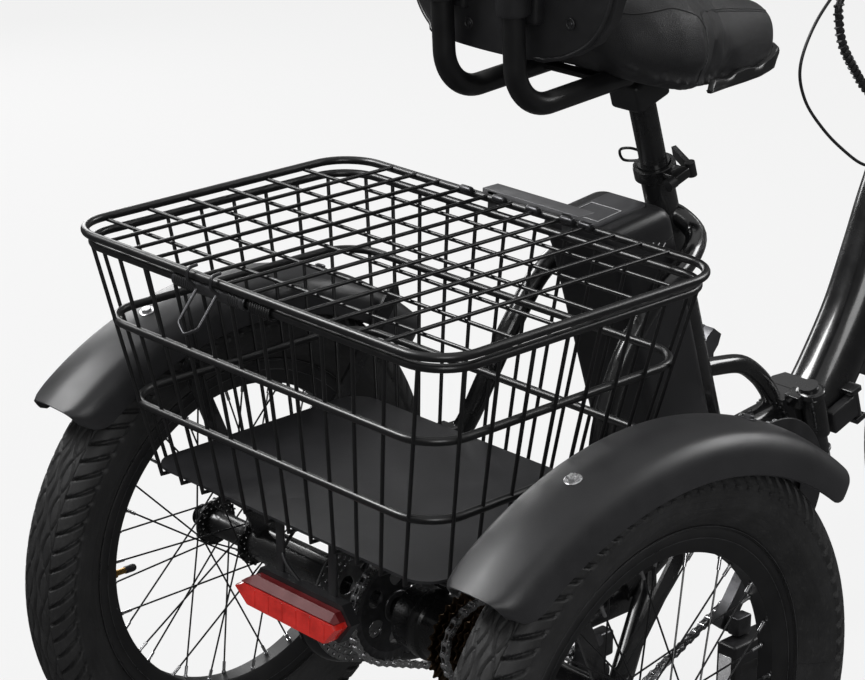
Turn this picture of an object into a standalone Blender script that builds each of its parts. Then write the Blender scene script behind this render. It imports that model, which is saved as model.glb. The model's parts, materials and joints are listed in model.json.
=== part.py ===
"""Folding adult tricycle with a lidded wire basket, modelled as separate sub-parts.

Frame: metres, +Z up, +Y forward, +X to the rider's right.
Origin: on the ground, in the mid-plane, at the middle of the wheelbase.
The shapes are written from the point under the rear axle; part() moves them back by ORIGIN_Y.
"""

import math

import bmesh
import bpy
from mathutils import Matrix, Vector

X = Vector((1.0, 0.0, 0.0))
Y = Vector((0.0, 1.0, 0.0))
Z = Vector((0.0, 0.0, 1.0))
SIDES = (-1, 1)          # left, right

# ---------------------------------------------------------------- driving dimensions
WHEEL_R = 0.282
TRACK_HALF = 0.317       # rear wheel mid-plane
WHEELBASE = 1.070
ORIGIN_Y = WHEELBASE / 2   # the origin, ahead of the rear axle
AXLE = Vector((0.0, 0.0, WHEEL_R))
FRONT_AXLE = Vector((0.0, WHEELBASE, WHEEL_R))
LEFT_WHEEL = AXLE - X * TRACK_HALF
RIGHT_WHEEL = AXLE + X * TRACK_HALF
SHAFT_GAP = 0.0112       # bore of the parts round the rear half axles

BOTTOM_BRACKET = Vector((0.0, 0.4718, 0.3150))
SEAT_FOOT = Vector((0.0, 0.4767, 0.3000))
SEAT_ANGLE = math.radians(18.0)
HEAD_LOW = Vector((0.0, 0.880, 0.660))   # lower steering bearing
HEAD_ANGLE = math.radians(20.0)
HINGE = Vector((0.042, 0.598, 0.363))    # frame's fold hinge
HINGE_ANGLE = math.radians(18.0)         # parallel to the seat tube


def leaning_up(angle):
    """Up along an axis that leans back by angle."""
    return Vector((0.0, -math.sin(angle), math.cos(angle)))


def leaning_ahead(angle):
    """Square to that axis, ahead of it."""
    return Vector((0.0, math.cos(angle), math.sin(angle)))


SEAT_UP = leaning_up(SEAT_ANGLE)
HEAD_UP = leaning_up(HEAD_ANGLE)
HINGE_UP = leaning_up(HINGE_ANGLE)
SEAT_BACK = -leaning_ahead(SEAT_ANGLE)
HEAD_AHEAD = leaning_ahead(HEAD_ANGLE)
HINGE_AHEAD = leaning_ahead(HINGE_ANGLE)

WORLD_AXES = (X, Y, Z)
SEAT_AXES = (X, SEAT_BACK, SEAT_UP)
HEAD_AXES = (X, HEAD_AHEAD, HEAD_UP)
HINGE_AXES = (X, HINGE_AHEAD, HINGE_UP)


def seat_at(up, behind=0.0, x=0.0):
    """A point up the seat tube from its foot, and behind its axis."""
    return SEAT_FOOT + SEAT_UP * up + SEAT_BACK * behind + X * x


def head_at(up, ahead=0.0, x=0.0):
    """A point up the steering axis from the lower bearing, and ahead of it."""
    return HEAD_LOW + HEAD_UP * up + HEAD_AHEAD * ahead + X * x


def hinge_at(ahead, up, x=0.0):
    """A point ahead of the fold hinge's axis and up it."""
    return Vector((x, HINGE.y, HINGE.z)) + HINGE_AHEAD * ahead + HINGE_UP * up


SEAT_PIVOT = seat_at(0.4358)
STEM_PIVOT = head_at(0.180, 0.0315)
BAR_UP = 0.402           # handlebar, up the steering axis
BAR_CENTRE = head_at(BAR_UP)

# ---------------------------------------------------------------- materials
# look: (linear RGB), roughness, metallic
LOOKS = {
    "frame_paint": ((0.012, 0.012, 0.013), 0.32, 0.0),
    "gloss_rod": ((0.010, 0.010, 0.011), 0.22, 0.0),
    "floor_sheet": ((0.030, 0.030, 0.032), 0.45, 0.0),
    "fender_plastic": ((0.022, 0.022, 0.024), 0.50, 0.0),
    "black_plastic": ((0.018, 0.018, 0.020), 0.45, 0.0),
    "rim_black": ((0.014, 0.014, 0.015), 0.50, 0.0),
    "hub_black": ((0.015, 0.015, 0.016), 0.25, 0.6),
    "tyre_rubber": ((0.020, 0.020, 0.021), 0.70, 0.0),
    "steel": ((0.55, 0.55, 0.56), 0.30, 1.0),
    "dark_steel": ((0.10, 0.10, 0.11), 0.35, 0.9),
    "bronze_steel": ((0.25, 0.16, 0.09), 0.35, 1.0),
    "red_lens": ((0.60, 0.01, 0.01), 0.12, 0.0),
    "lamp_lens": ((0.80, 0.82, 0.85), 0.10, 0.0),
    "leather": ((0.020, 0.020, 0.022), 0.48, 0.0),
    "grip_rubber": ((0.020, 0.020, 0.020), 0.75, 0.0),
    "battery_shell": ((0.022, 0.022, 0.024), 0.42, 0.0),
    "display_gloss": ((0.010, 0.010, 0.012), 0.10, 0.0),
}


def material(name, look):
    rgb, roughness, metallic = LOOKS[look]
    mat = bpy.data.materials.new(name)
    mat.use_nodes = True
    mat.diffuse_color = (*rgb, 1.0)
    shader = mat.node_tree.nodes["Principled BSDF"]
    shader.inputs["Base Color"].default_value = (*rgb, 1.0)
    shader.inputs["Roughness"].default_value = roughness
    shader.inputs["Metallic"].default_value = metallic
    return mat


# ---------------------------------------------------------------- paths and profiles
def circle(r, n, turn=0.0):
    angles = [2 * math.pi * (k + turn) / n for k in range(n)]
    return [(r * math.cos(a), r * math.sin(a)) for a in angles]


def rectangle(a, b):
    """Corners of a rectangle with half sizes a and b."""
    return [(a, b), (-a, b), (-a, -b), (a, -b)]


def on_side(side, points):
    """Points given for the right, put on the left when side is -1."""
    return [Vector((side * x, y, z)) for x, y, z in points]


def fillet(points, radius, steps):
    """The polyline with each inner corner replaced by an arc."""
    points = [Vector(p) for p in points]
    path = [points[0]]
    for before, corner, after in zip(points, points[1:], points[2:]):
        back = before - corner
        onward = after - corner
        angle = back.angle(onward)
        if math.pi - angle < 0.02:
            path.append(corner)
            continue
        cut = min(radius / math.tan(angle / 2), 0.48 * back.length, 0.48 * onward.length)
        r = cut * math.tan(angle / 2)
        back.normalize()
        onward.normalize()
        centre = corner + (back + onward).normalized() * (r / math.sin(angle / 2))
        start = corner + back * cut - centre
        end = corner + onward * cut - centre
        axis = start.cross(end).normalized()
        turn = start.angle(end)
        for k in range(steps + 1):
            path.append(centre + Matrix.Rotation(turn * k / steps, 3, axis) @ start)
    path.append(points[-1])
    return path


def ring_frames(points, closed, up):
    """A tangent, a normal and a binormal at each point, carried along without twist."""
    count = len(points)
    tangents = []
    for i, point in enumerate(points):
        if closed or 0 < i < count - 1:
            tangent = ((points[(i + 1) % count] - point).normalized()
                       + (point - points[i - 1]).normalized())
        else:
            tangent = points[min(i + 1, count - 1)] - points[max(i - 1, 0)]
        tangents.append(tangent.normalized())
    normal = (up - tangents[0] * up.dot(tangents[0])).normalized()
    frames = []
    for i, tangent in enumerate(tangents):
        if i:
            normal = tangents[i - 1].rotation_difference(tangent) @ normal
        normal = (normal - tangent * normal.dot(tangent)).normalized()
        frames.append((tangent, normal, tangent.cross(normal)))
    return frames


# ---------------------------------------------------------------- solids (each returns a bmesh)
def loft(sections, closed=False):
    """A solid through rings of equal length, or single points as tips.

    Open ends are capped; closed joins the last ring to the first.
    """
    bm = bmesh.new()
    rings = [[bm.verts.new(p) for p in section] for section in sections]
    following = rings[1:] + rings[:1] if closed else rings[1:]
    for a, b in zip(rings, following):
        count = max(len(a), len(b))
        for k in range(count):
            j = (k + 1) % count
            if len(a) == 1:
                bm.faces.new([a[0], b[j], b[k]])
            elif len(b) == 1:
                bm.faces.new([a[k], a[j], b[0]])
            else:
                bm.faces.new([a[k], a[j], b[j], b[k]])
    if not closed:
        for cap in (rings[0][::-1], rings[-1]):
            if len(cap) > 1:
                bm.faces.new(cap)
    bmesh.ops.recalc_face_normals(bm, faces=bm.faces)
    return bm


def sweep(points, profile, closed=False, up=Z):
    """The profile (a, b) carried along points, a along the normal and b along the binormal."""
    points = [Vector(p) for p in points]
    count = len(points)
    sections = []
    for i, (tangent, normal, binormal) in enumerate(ring_frames(points, closed, up)):
        offsets = [normal * a + binormal * b for a, b in profile]
        if closed or 0 < i < count - 1:
            arriving = (points[i] - points[i - 1]).normalized()
            leaving = (points[(i + 1) % count] - points[i]).normalized()
            bend = leaving - arriving
            if bend.length > 1e-4:
                # widen the mitre, so that the tube keeps its thickness round the bend
                stretch = 1.0 / max(0.75, arriving.dot(tangent))
                across = bend.normalized()
                offsets = [off + across * off.dot(across) * (stretch - 1.0) for off in offsets]
        sections.append([points[i] + off for off in offsets])
    return loft(sections, closed)


def tube(points, r, n, bend=0.0, arc=2, up=X):
    """A round bar along points, its corners rounded by bend in arc steps."""
    path = fillet(points, bend, arc) if bend else points
    return sweep(path, circle(r, n, 0.5), up=up)


def axis_matrix(origin, direction):
    """Local +X lies along direction, local +Z as near up as it can be."""
    d = Vector(direction).normalized()
    up = Y if abs(d.dot(Z)) > 0.99 else Z
    side = up.cross(d).normalized()
    top = d.cross(side)
    return Matrix(((d.x, side.x, top.x, origin[0]), (d.y, side.y, top.y, origin[1]),
                   (d.z, side.z, top.z, origin[2]), (0, 0, 0, 1)))


def lathe(profile, n, origin, direction=X, looped=False):
    """Turns (distance along the axis, radius) round the axis.

    looped joins the last point to the first, for a ring.
    """
    matrix = axis_matrix(origin, direction)
    sections = []
    for h, r in profile:
        if r < 1e-9:
            ring = [(h, 0, 0)]
        else:
            angles = [2 * math.pi * (k + 0.5) / n for k in range(n)]
            ring = [(h, r * math.sin(a), r * math.cos(a)) for a in angles]
        sections.append([matrix @ Vector(p) for p in ring])
    return loft(sections, looped)


def rod(a, b, r, n=12):
    a, b = Vector(a), Vector(b)
    return lathe([(0, r), ((b - a).length, r)], n, a, b - a)


def cross_rod(centre, half, r, n):
    """A rod along X, half to each side of centre."""
    return rod(centre - X * half, centre + X * half, r, n)


def block(lo, hi, origin=(0, 0, 0), axes=WORLD_AXES, bevel=0.0):
    """A box from lo to hi in the given axes at origin."""
    bm = bmesh.new()
    bmesh.ops.create_cube(bm, size=1.0)
    lo, hi = Vector(lo), Vector(hi)
    middle, size = (lo + hi) / 2, hi - lo
    origin = Vector(origin)
    ex, ey, ez = axes
    for v in bm.verts:
        p = Vector((v.co.x * size.x, v.co.y * size.y, v.co.z * size.z)) + middle
        v.co = origin + ex * p.x + ey * p.y + ez * p.z
    if ex.cross(ey).dot(ez) < 0:   # left-handed axes turn the box inside out
        bmesh.ops.reverse_faces(bm, faces=bm.faces)
    if bevel:
        bmesh.ops.bevel(bm, geom=list(bm.edges), offset=bevel, segments=1,
                        affect="EDGES", profile=0.5)
    bmesh.ops.recalc_face_normals(bm, faces=bm.faces)
    return bm


def flat_bar(a, b, x0, x1, half):
    """A flat bar with pointed ends from a to b, between x0 and x1, with the given half width."""
    a, b = Vector(a), Vector(b)
    d = (b - a).normalized()
    w = d.cross(X).normalized()
    corners = [a + w * half, a - d * half * 0.9, a - w * half,
               b - w * half, b + d * half * 0.9, b + w * half]
    return loft([[Vector((x, c.y, c.z)) for c in corners] for x in (x0, x1)])


def hinge_block(lo, hi, bevel=0.0):
    return block(lo, hi, hinge_at(0, 0), HINGE_AXES, bevel)


def hinge_pin(low, high, r):
    """A rod on the fold hinge's axis."""
    return rod(hinge_at(0, low, HINGE.x), hinge_at(0, high, HINGE.x), r, 8)


# ---------------------------------------------------------------- objects
def mesh_object(name, bm):
    if bm.calc_volume(signed=True) < 0:
        bmesh.ops.reverse_faces(bm, faces=bm.faces)
    mesh = bpy.data.meshes.new(name)
    bm.to_mesh(mesh)
    bm.free()
    obj = bpy.data.objects.new(name, mesh)
    bpy.context.scene.collection.objects.link(obj)
    return obj


def evaluated_mesh(obj):
    graph = bpy.context.evaluated_depsgraph_get()
    return bpy.data.meshes.new_from_object(obj.evaluated_get(graph))


def combine(obj, others, operation):
    """One exact Boolean of obj with all the others, worked into its mesh."""
    if not others:
        return
    operands = bpy.data.collections.new("operands")
    for other in others:
        operands.objects.link(other)
    mod = obj.modifiers.new(operation.lower(), "BOOLEAN")
    mod.operation = operation
    mod.operand_type = "COLLECTION"
    mod.collection = operands
    mod.solver = "EXACT"
    result = evaluated_mesh(obj)
    if not result.polygons:   # guards against an exact Boolean that comes out empty
        mod.solver = "MANIFOLD"
        result = evaluated_mesh(obj)
    obj.modifiers.clear()
    obj.data = result
    for other in others:
        bpy.data.objects.remove(other)
    bpy.data.collections.remove(operands)


def part(name, look, solids, cuts=(), pivot=(0, 0, 0), sharp=35.0):
    """One named sub-part: the union of solids, less the cuts, with its origin at pivot."""
    base, *others = [mesh_object("%s_%d" % (name, i), bm) for i, bm in enumerate(solids)]
    combine(base, others, "UNION")
    cutters = [mesh_object("cut_%s_%d" % (name, i), bm) for i, bm in enumerate(cuts)]
    combine(base, cutters, "DIFFERENCE")
    base.name = name
    base.data.name = name
    pivot = Vector(pivot)
    base.data.transform(Matrix.Translation(-pivot))
    base.location = pivot - Y * ORIGIN_Y
    base.data.materials.clear()   # a Boolean may leave an empty slot
    base.data.materials.append(material(name + "_" + look, look))
    base.data.shade_smooth()
    base.data.set_sharp_from_angle(angle=math.radians(sharp))


# ---------------------------------------------------------------- wheels
WHEEL_SEG = 24
TYRE_HALF = 0.0385
RIM_TOP_R = 0.2076
RIM_IN_R = 0.1810
SPOKES = 36
SPOKE_R = 0.0013
HUB_FLANGE = 0.037       # flange distance from the wheel mid-plane

# profiles: distance from the wheel mid-plane, radius
TYRE_PROFILE = [
    (-0.014, WHEEL_R), (0.014, WHEEL_R), (0.033, 0.266), (TYRE_HALF, 0.240),
    (0.0185, 0.2083), (-0.0185, 0.2083), (-TYRE_HALF, 0.240), (-0.033, 0.266)]
RIM_PROFILE = [
    (-0.0175, RIM_TOP_R), (0.0175, RIM_TOP_R), (0.0172, 0.194), (0.011, RIM_IN_R),
    (-0.011, RIM_IN_R), (-0.0172, 0.194)]
FRONT_HUB_HALF = [
    (0.033, 0.022), (0.034, 0.034), (0.040, 0.034), (0.047, 0.018), (0.047, 0.006),
    (0.066, 0.006), (0.066, 0.0)]


def tyre_and_rim(place, centre):
    # the radii are enlarged so that the tread's flats, not its corners, lie at WHEEL_R
    grow = 1.0 / math.cos(math.pi / WHEEL_SEG)
    tread = [(h, grow * r) for h, r in TYRE_PROFILE]
    part("tyre_" + place, "tyre_rubber", [lathe(tread, WHEEL_SEG, centre, looped=True)],
         pivot=centre)
    part("rim_" + place, "rim_black", [lathe(RIM_PROFILE, WHEEL_SEG, centre, looped=True)],
         pivot=centre)


def spokes(centre):
    """Crossed spokes: each flange's leading and trailing spokes lie in their own planes."""
    out = []
    for i in range(SPOKES):
        side = 1 if i % 2 else -1
        lead = 1 if (i // 2) % 2 else -1
        at_rim = math.radians(360.0 / SPOKES * i + 4.0)
        at_hub = at_rim + lead * math.radians(62.0)
        lane = 0.0022 if lead > 0 else -0.0018
        inner = Vector((side * (HUB_FLANGE + lane * 0.9),
                        0.0265 * math.cos(at_hub), 0.0265 * math.sin(at_hub)))
        outer = Vector((side * (0.0052 + lane),
                        0.1782 * math.cos(at_rim), 0.1782 * math.sin(at_rim)))
        out.append(rod(centre + inner, centre + outer, SPOKE_R, 3))
    return out


def rear_hub(place, centre, inward):
    """Flanged hub with a solid half axle that reaches inward nearly to the mid-plane."""
    reach = TRACK_HALF - 0.004
    outer = 0.062
    f = HUB_FLANGE
    profile = [
        (-outer, 0.0), (-outer, 0.009), (-0.052, 0.009), (-0.052, 0.018), (-f - 0.003, 0.018),
        (-f - 0.003, 0.031), (-f + 0.003, 0.031), (-f + 0.003, 0.018), (f - 0.003, 0.018),
        (f - 0.003, 0.031), (f + 0.003, 0.031), (f + 0.003, 0.010), (reach, 0.010), (reach, 0.0)]
    part("hub_" + place, "hub_black", [lathe(profile, 10, centre, X * inward)] + spokes(centre),
         pivot=centre)


def front_hub():
    profile = [(-h, r) for h, r in FRONT_HUB_HALF[::-1]] + FRONT_HUB_HALF
    part("hub_front", "hub_black", [lathe(profile, 10, FRONT_AXLE)] + spokes(FRONT_AXLE),
         pivot=FRONT_AXLE)


def wheels():
    tyre_and_rim("left", LEFT_WHEEL)
    tyre_and_rim("right", RIGHT_WHEEL)
    tyre_and_rim("front", FRONT_AXLE)
    rear_hub("left", LEFT_WHEEL, 1)
    rear_hub("right", RIGHT_WHEEL, -1)
    front_hub()


# ---------------------------------------------------------------- chains and sprockets
PEDAL_CHAIN_X = 0.075
MOTOR_CHAIN_X = -0.048
MOTOR = Vector((0.0, 0.130, 0.190))
UPPER_PULLEY = Vector((PEDAL_CHAIN_X, 0.158, 0.205))
LOWER_PULLEY = Vector((PEDAL_CHAIN_X, 0.196, 0.128))
CHAIN_SECTION = rectangle(0.0045, 0.0035)   # half width, half height
# radii of the chains' paths
CHAINRING_R = 0.0850
COG_R = 0.0455
UPPER_PULLEY_R = 0.0155
LOWER_PULLEY_R = 0.0185
AXLE_SPROCKET_R = 0.0648
MOTOR_SPROCKET_R = 0.0265
CHAIN_DEPTH = 0.0056     # chain path to the edge of the axle sprocket or chainring
MOTOR_CHAIN_DEPTH = 0.0042
ROTOR_X = -0.095

# profiles: distance along X, radius
AXLE_SPROCKET_EDGE = AXLE_SPROCKET_R - CHAIN_DEPTH
AXLE_SPROCKET_PROFILE = [
    (-0.012, SHAFT_GAP), (-0.012, 0.018), (-0.002, 0.018), (-0.002, AXLE_SPROCKET_EDGE),
    (0.002, AXLE_SPROCKET_EDGE), (0.002, SHAFT_GAP)]
ROTOR_PROFILE = [
    (-0.008, SHAFT_GAP), (-0.008, 0.019), (-0.001, 0.026), (-0.001, 0.080), (0.001, 0.080),
    (0.001, SHAFT_GAP)]
FREEWHEEL_PROFILE = [   # four cogs, largest first, then the outer sleeve
    (0.0588, SHAFT_GAP),
    (0.0588, 0.0545), (0.0608, 0.0545), (0.0608, 0.024),
    (0.0652, 0.024), (0.0652, 0.0495), (0.0672, 0.0495), (0.0672, 0.024),
    (0.0740, 0.024), (0.0740, 0.0400), (0.0760, 0.0400), (0.0760, 0.024),
    (0.0835, 0.024), (0.0835, 0.0350), (0.0855, 0.0350), (0.0855, 0.020),
    (0.0960, 0.020), (0.0960, SHAFT_GAP)]
MOTOR_SPROCKET_EDGE = MOTOR_SPROCKET_R - MOTOR_CHAIN_DEPTH
MOTOR_SPROCKET_PROFILE = [
    (-0.0535, 0.0), (-0.0535, MOTOR_SPROCKET_EDGE), (-0.0405, MOTOR_SPROCKET_EDGE),
    (-0.0405, 0.010), (-0.0375, 0.010), (-0.0375, 0.0)]
MOTOR_PROFILE = [
    (-0.0365, 0.0), (-0.0365, 0.038), (-0.030, 0.045), (0.040, 0.045), (0.046, 0.038),
    (0.046, 0.0)]
HOUSING_PROFILE = [
    (-0.024, SHAFT_GAP), (-0.024, 0.022), (-0.018, 0.022), (-0.018, 0.036), (0.006, 0.036),
    (0.009, 0.040), (0.022, 0.040), (0.025, 0.036), (0.048, 0.036), (0.048, 0.024),
    (0.056, 0.024), (0.056, SHAFT_GAP)]


def belt(circles, step):
    """The path round circles (centre, radius, +1 or -1 for its turn), in arcs of at most step."""
    headings = []
    for i, (c1, r1, s1) in enumerate(circles):
        c2, r2, s2 = circles[(i + 1) % len(circles)]
        d = c2 - c1
        tilt = math.asin((s1 * r1 - s2 * r2) / math.hypot(d.y, d.z))
        headings.append(math.atan2(d.z, d.y) + tilt)
    points = []
    for i, (c, r, sense) in enumerate(circles):
        start = headings[i - 1] - sense * math.pi / 2
        end = headings[i] - sense * math.pi / 2
        turn = (end - start) * sense % (2 * math.pi)
        count = max(2, math.ceil(turn / step))
        for j in range(count + 1):
            a = start + sense * turn * j / count
            points.append(Vector((c.x, c.y + r * math.cos(a), c.z + r * math.sin(a))))
    return points


def chains():
    pedal_path = belt([(Vector((PEDAL_CHAIN_X, 0, WHEEL_R)), COG_R, 1),
                       (UPPER_PULLEY, UPPER_PULLEY_R, -1),
                       (LOWER_PULLEY, LOWER_PULLEY_R, 1),
                       (Vector((PEDAL_CHAIN_X, BOTTOM_BRACKET.y, BOTTOM_BRACKET.z)),
                        CHAINRING_R, 1)], 0.45)
    part("pedal_chain", "steel", [sweep(pedal_path, CHAIN_SECTION, True, X)])
    motor_path = belt([(Vector((MOTOR_CHAIN_X, 0, WHEEL_R)), AXLE_SPROCKET_R, 1),
                       (MOTOR + X * MOTOR_CHAIN_X, MOTOR_SPROCKET_R, 1)], 0.40)
    part("motor_chain", "steel", [sweep(motor_path, CHAIN_SECTION, True, X)])


def axle_and_motor_parts():
    sprocket = AXLE + X * MOTOR_CHAIN_X
    rotor = AXLE + X * ROTOR_X
    part("axle_sprocket", "dark_steel",
         [lathe(AXLE_SPROCKET_PROFILE, 24, sprocket, looped=True)], pivot=sprocket)
    part("brake_rotor", "dark_steel", [lathe(ROTOR_PROFILE, 24, rotor, looped=True)],
         pivot=rotor)
    part("freewheel", "bronze_steel", [lathe(FREEWHEEL_PROFILE, 14, AXLE, looped=True)],
         pivot=AXLE)
    part("motor_sprocket", "dark_steel", [lathe(MOTOR_SPROCKET_PROFILE, 16, MOTOR)],
         pivot=MOTOR)
    part("drive_motor", "hub_black", [lathe(MOTOR_PROFILE, 20, MOTOR)])
    part("axle_center_housing", "hub_black", [lathe(HOUSING_PROFILE, 14, AXLE, looped=True)])


# ---------------------------------------------------------------- cranks and pedals
CRANK_LEN = 0.152
CRANK_DIR = Vector((0.0, -0.0909, -0.120)).normalized()   # of the right crank
ARM_X = 0.098
ARM_HALF_THICK = 0.007
# distance along the arm from the crank axle, half width
ARM_STATIONS = [(-0.018, 0.012), (0.0, 0.017), (0.03, 0.013), (CRANK_LEN - 0.02, 0.011),
                (CRANK_LEN, 0.013), (CRANK_LEN + 0.013, 0.009)]
PEDAL_X = 0.1275         # middle of a folded pedal
PEDAL_BLOCK_X = 0.1205


def crank_tip(side):
    return BOTTOM_BRACKET + CRANK_DIR * side * CRANK_LEN


def crank_arm(side):
    """One arm, and the pedal spindle at its tip."""
    root = BOTTOM_BRACKET + X * (side * ARM_X)
    along = CRANK_DIR * side
    across = along.cross(X)
    arm = loft([[root + X * a + across * b + along * h for a, b in rectangle(ARM_HALF_THICK, w)]
                for h, w in ARM_STATIONS])
    tip = crank_tip(side)
    return [arm, rod(tip + X * (side * 0.100), tip + X * (side * 0.1272), 0.006, 6)]


def crankset():
    edge = CHAINRING_R - CHAIN_DEPTH
    ring = [(PEDAL_CHAIN_X - 0.002, 0.0), (PEDAL_CHAIN_X - 0.002, edge),
            (PEDAL_CHAIN_X + 0.002, edge), (PEDAL_CHAIN_X + 0.002, 0.045),
            (0.0805, 0.045), (0.0805, 0.0)]
    part("crankset", "dark_steel",
         [cross_rod(BOTTOM_BRACKET, 0.100, 0.0085, 8), lathe(ring, 24, BOTTOM_BRACKET)]
         + crank_arm(1) + crank_arm(-1), pivot=BOTTOM_BRACKET)


def pedal(name, side):
    """A folded pedal: a small block on the spindle, and a platform hanging beside the crank."""
    tip = crank_tip(side)
    centre = Vector((side * PEDAL_BLOCK_X, tip.y, tip.z))
    # the block reaches 8 mm inward and 7.5 mm outward
    x0, x1 = (-0.0080, 0.0075) if side > 0 else (-0.0075, 0.0080)
    part("pedal_block_" + name, "dark_steel",
         [block((x0, -0.0120, -0.0110), (x1, 0.0120, 0.0120), centre, bevel=0.002)],
         [cross_rod(centre, 0.02, 0.0066, 8)], pivot=tip)
    plate = Vector((side * PEDAL_X, tip.y + side * 0.0120, tip.z - 0.0620))
    windows = [block((-0.03, -0.0320, 0.018 * k - 0.0065), (0.03, 0.0320, 0.018 * k + 0.0065),
                     plate) for k in (-1, 1)]
    part("pedal_" + name, "black_plastic",
         [block((-0.0140, -0.0440, -0.0490), (0.0140, 0.0440, 0.0490), plate, bevel=0.004)],
         windows, pivot=(side * PEDAL_X, tip.y, tip.z - 0.0120))


# ---------------------------------------------------------------- derailleur and caliper
DERAILLEUR = Vector((0.101, 0.158, 0.233))
CALIPER = Vector((ROTOR_X, 0.090, 0.300))


def derailleur_body():
    def at(x, y, z):
        return DERAILLEUR + Vector((x, y, z))

    part("derailleur_body", "dark_steel", [
        block((-0.009, -0.026, -0.012), (0.009, 0.020, 0.018), DERAILLEUR, bevel=0.003),
        rod(at(-0.0135, 0.0, -0.028), at(0.011, 0.0, -0.028), 0.012, 12),
        block((-0.006, -0.010, -0.03), (0.006, 0.010, 0.01), DERAILLEUR),
        rod(at(0.0, -0.024, 0.010), at(0.030, -0.030, 0.030), 0.007, 8)])


def derailleur_cage():
    """Two side plates with the two pulleys on their pins between them."""
    cage = [flat_bar(UPPER_PULLEY, LOWER_PULLEY, PEDAL_CHAIN_X + x0, PEDAL_CHAIN_X + x1, 0.010)
            for x0, x1 in ((0.0065, 0.0085), (-0.0085, -0.0065))]
    for centre, r in ((UPPER_PULLEY, 0.0112), (LOWER_PULLEY, 0.0142)):
        cage.append(cross_rod(centre, 0.0035, r, 12))
        cage.append(cross_rod(centre, 0.0080, 0.0035, 6))
    part("derailleur_cage", "dark_steel", cage, pivot=UPPER_PULLEY)


def brake_caliper():
    """A block with a slot for the rotor."""
    part("brake_caliper", "hub_black",
         [block((-0.022, -0.020, -0.024), (0.022, 0.024, 0.026), CALIPER, bevel=0.005)],
         [block((-0.0025, -0.09, -0.09), (0.0025, 0.004, 0.09), CALIPER)])


# ---------------------------------------------------------------- rear frame
LOWER_TUBE = [(0, 0.462, 0.340), (0, 0.505, 0.3600), (0, 0.588, 0.3685)]
BRACE = [(0, 0.430, 0.458), (0, 0.4600, 0.4549), (0, 0.5051, 0.4459), (0, 0.5377, 0.4238),
         (0, 0.5599, 0.3990), (0, 0.5720, 0.3780)]
SPINE = [(0, 0.462, 0.304), (0, 0.330, 0.236), (0, 0.300, 0.226)]
# right-hand paths
STAY = [(0.002, 0.352, 0.664), (0.014, 0.366, 0.661), (0.040, 0.368, 0.643),
        (0.070, 0.318, 0.630), (0.080, 0.256, 0.604), (0.082, 0.208, 0.550),
        (0.088, 0.174, 0.490), (0.101, 0.148, 0.430), (0.118, 0.104, 0.384),
        (0.134, 0.036, 0.318), (0.138, 0.004, 0.288)]
UNDER_LOOP = [(0.196, 0.0, 0.276), (0.196, 0.004, 0.172), (0.150, 0.120, 0.152),
              (0.030, 0.318, 0.218), (0.004, 0.345, 0.240)]
UPRIGHT = [(0.130, 0.008, 0.300), (0.112, 0.008, 0.434)]
# x, distance from the hinge's parting plane
HINGE_OUTLINE = [(-0.0243, 0.0004), (-0.0243, 0.0110), (-0.0150, 0.0243), (0.0190, 0.0243),
                 (0.0283, 0.0150), (0.0283, 0.0004)]


def hinge_half(sign):
    """One half of the fold hinge's body, behind (-1) or ahead (+1) of its parting plane."""
    return loft([[hinge_at(sign * ahead, up, x) for x, ahead in HINGE_OUTLINE]
                 for up in (-0.0413, 0.0363)])


def rear_frame_side(side):
    rail_x, foot_x = side * 0.110, side * 0.104
    return [
        # stay from the front of the seat tube, round the battery and down to the axle tube
        tube(on_side(side, STAY), 0.0120, 8),
        # axle tube
        rod((side * 0.116, 0, WHEEL_R), (side * 0.272, 0, WHEEL_R), 0.0205, 12),
        # tube that loops under the axle to the main spine
        tube(on_side(side, UNDER_LOOP), 0.0135, 8, 0.05, 3),
        # upright and rail that carry the basket floor, and a block under the rail's front
        tube(on_side(side, UPRIGHT), 0.0100, 8, up=Y),
        block((rail_x - 0.011, -0.172, 0.4320), (rail_x + 0.011, 0.140, 0.4385)),
        block((foot_x - 0.010, 0.128, 0.424), (foot_x + 0.010, 0.152, 0.438)),
        # two flat arms to the mudguard, rear then front
        flat_bar((0, 0.0, 0.286), (0, -0.105, 0.526), side * 0.2655, side * 0.2615, 0.010),
        flat_bar((0, 0.0, 0.286), (0, 0.196, 0.540), side * 0.2650, side * 0.2610, 0.010),
    ]


def rear_frame():
    solids = [
        # seat tube and bottom bracket shell
        rod(seat_at(-0.006), seat_at(0.4470), 0.0182, 12),
        cross_rod(BOTTOM_BRACKET, 0.036, 0.0260, 12),
        # lower tube to the fold hinge, the small curved brace above it, and the spine behind
        tube(LOWER_TUBE, 0.0190, 10, 0.08, 2),
        tube(BRACE, 0.0112, 8),
        tube(SPINE, 0.0230, 10, 0.1, 2),
        # hinge body with its two outer knuckles, the pin, and the webs to the knuckles
        hinge_half(-1),
        hinge_pin(-0.047, -0.0190, 0.0120),
        hinge_pin(0.0270, 0.0510, 0.0120),
        hinge_pin(-0.025, 0.0350, 0.0050),
        hinge_block((0.020, -0.0210, -0.045), (0.042, -0.0030, -0.0195)),
        hinge_block((0.020, -0.0210, 0.0275), (0.042, -0.0030, 0.0440)),
        # cross tube between the stays, and a block below it
        cross_rod(Vector((0.0, 0.012, 0.378)), 0.140, 0.0125, 10),
        block((0.006, 0.004, 0.3230), (0.030, 0.020, 0.372)),
        # bar from the spine back over the motor
        block((-0.016, 0.178, 0.196), (0.016, 0.330, 0.232)),
    ]
    for side in SIDES:
        solids += rear_frame_side(side)
    bores = [cross_rod(AXLE, 0.30, SHAFT_GAP, 12),
             cross_rod(BOTTOM_BRACKET, 0.05, 0.0135, 12),
             rod(seat_at(0.110), seat_at(0.460), 0.0160, 12)]
    part("rear_frame", "frame_paint", solids, bores)


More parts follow.
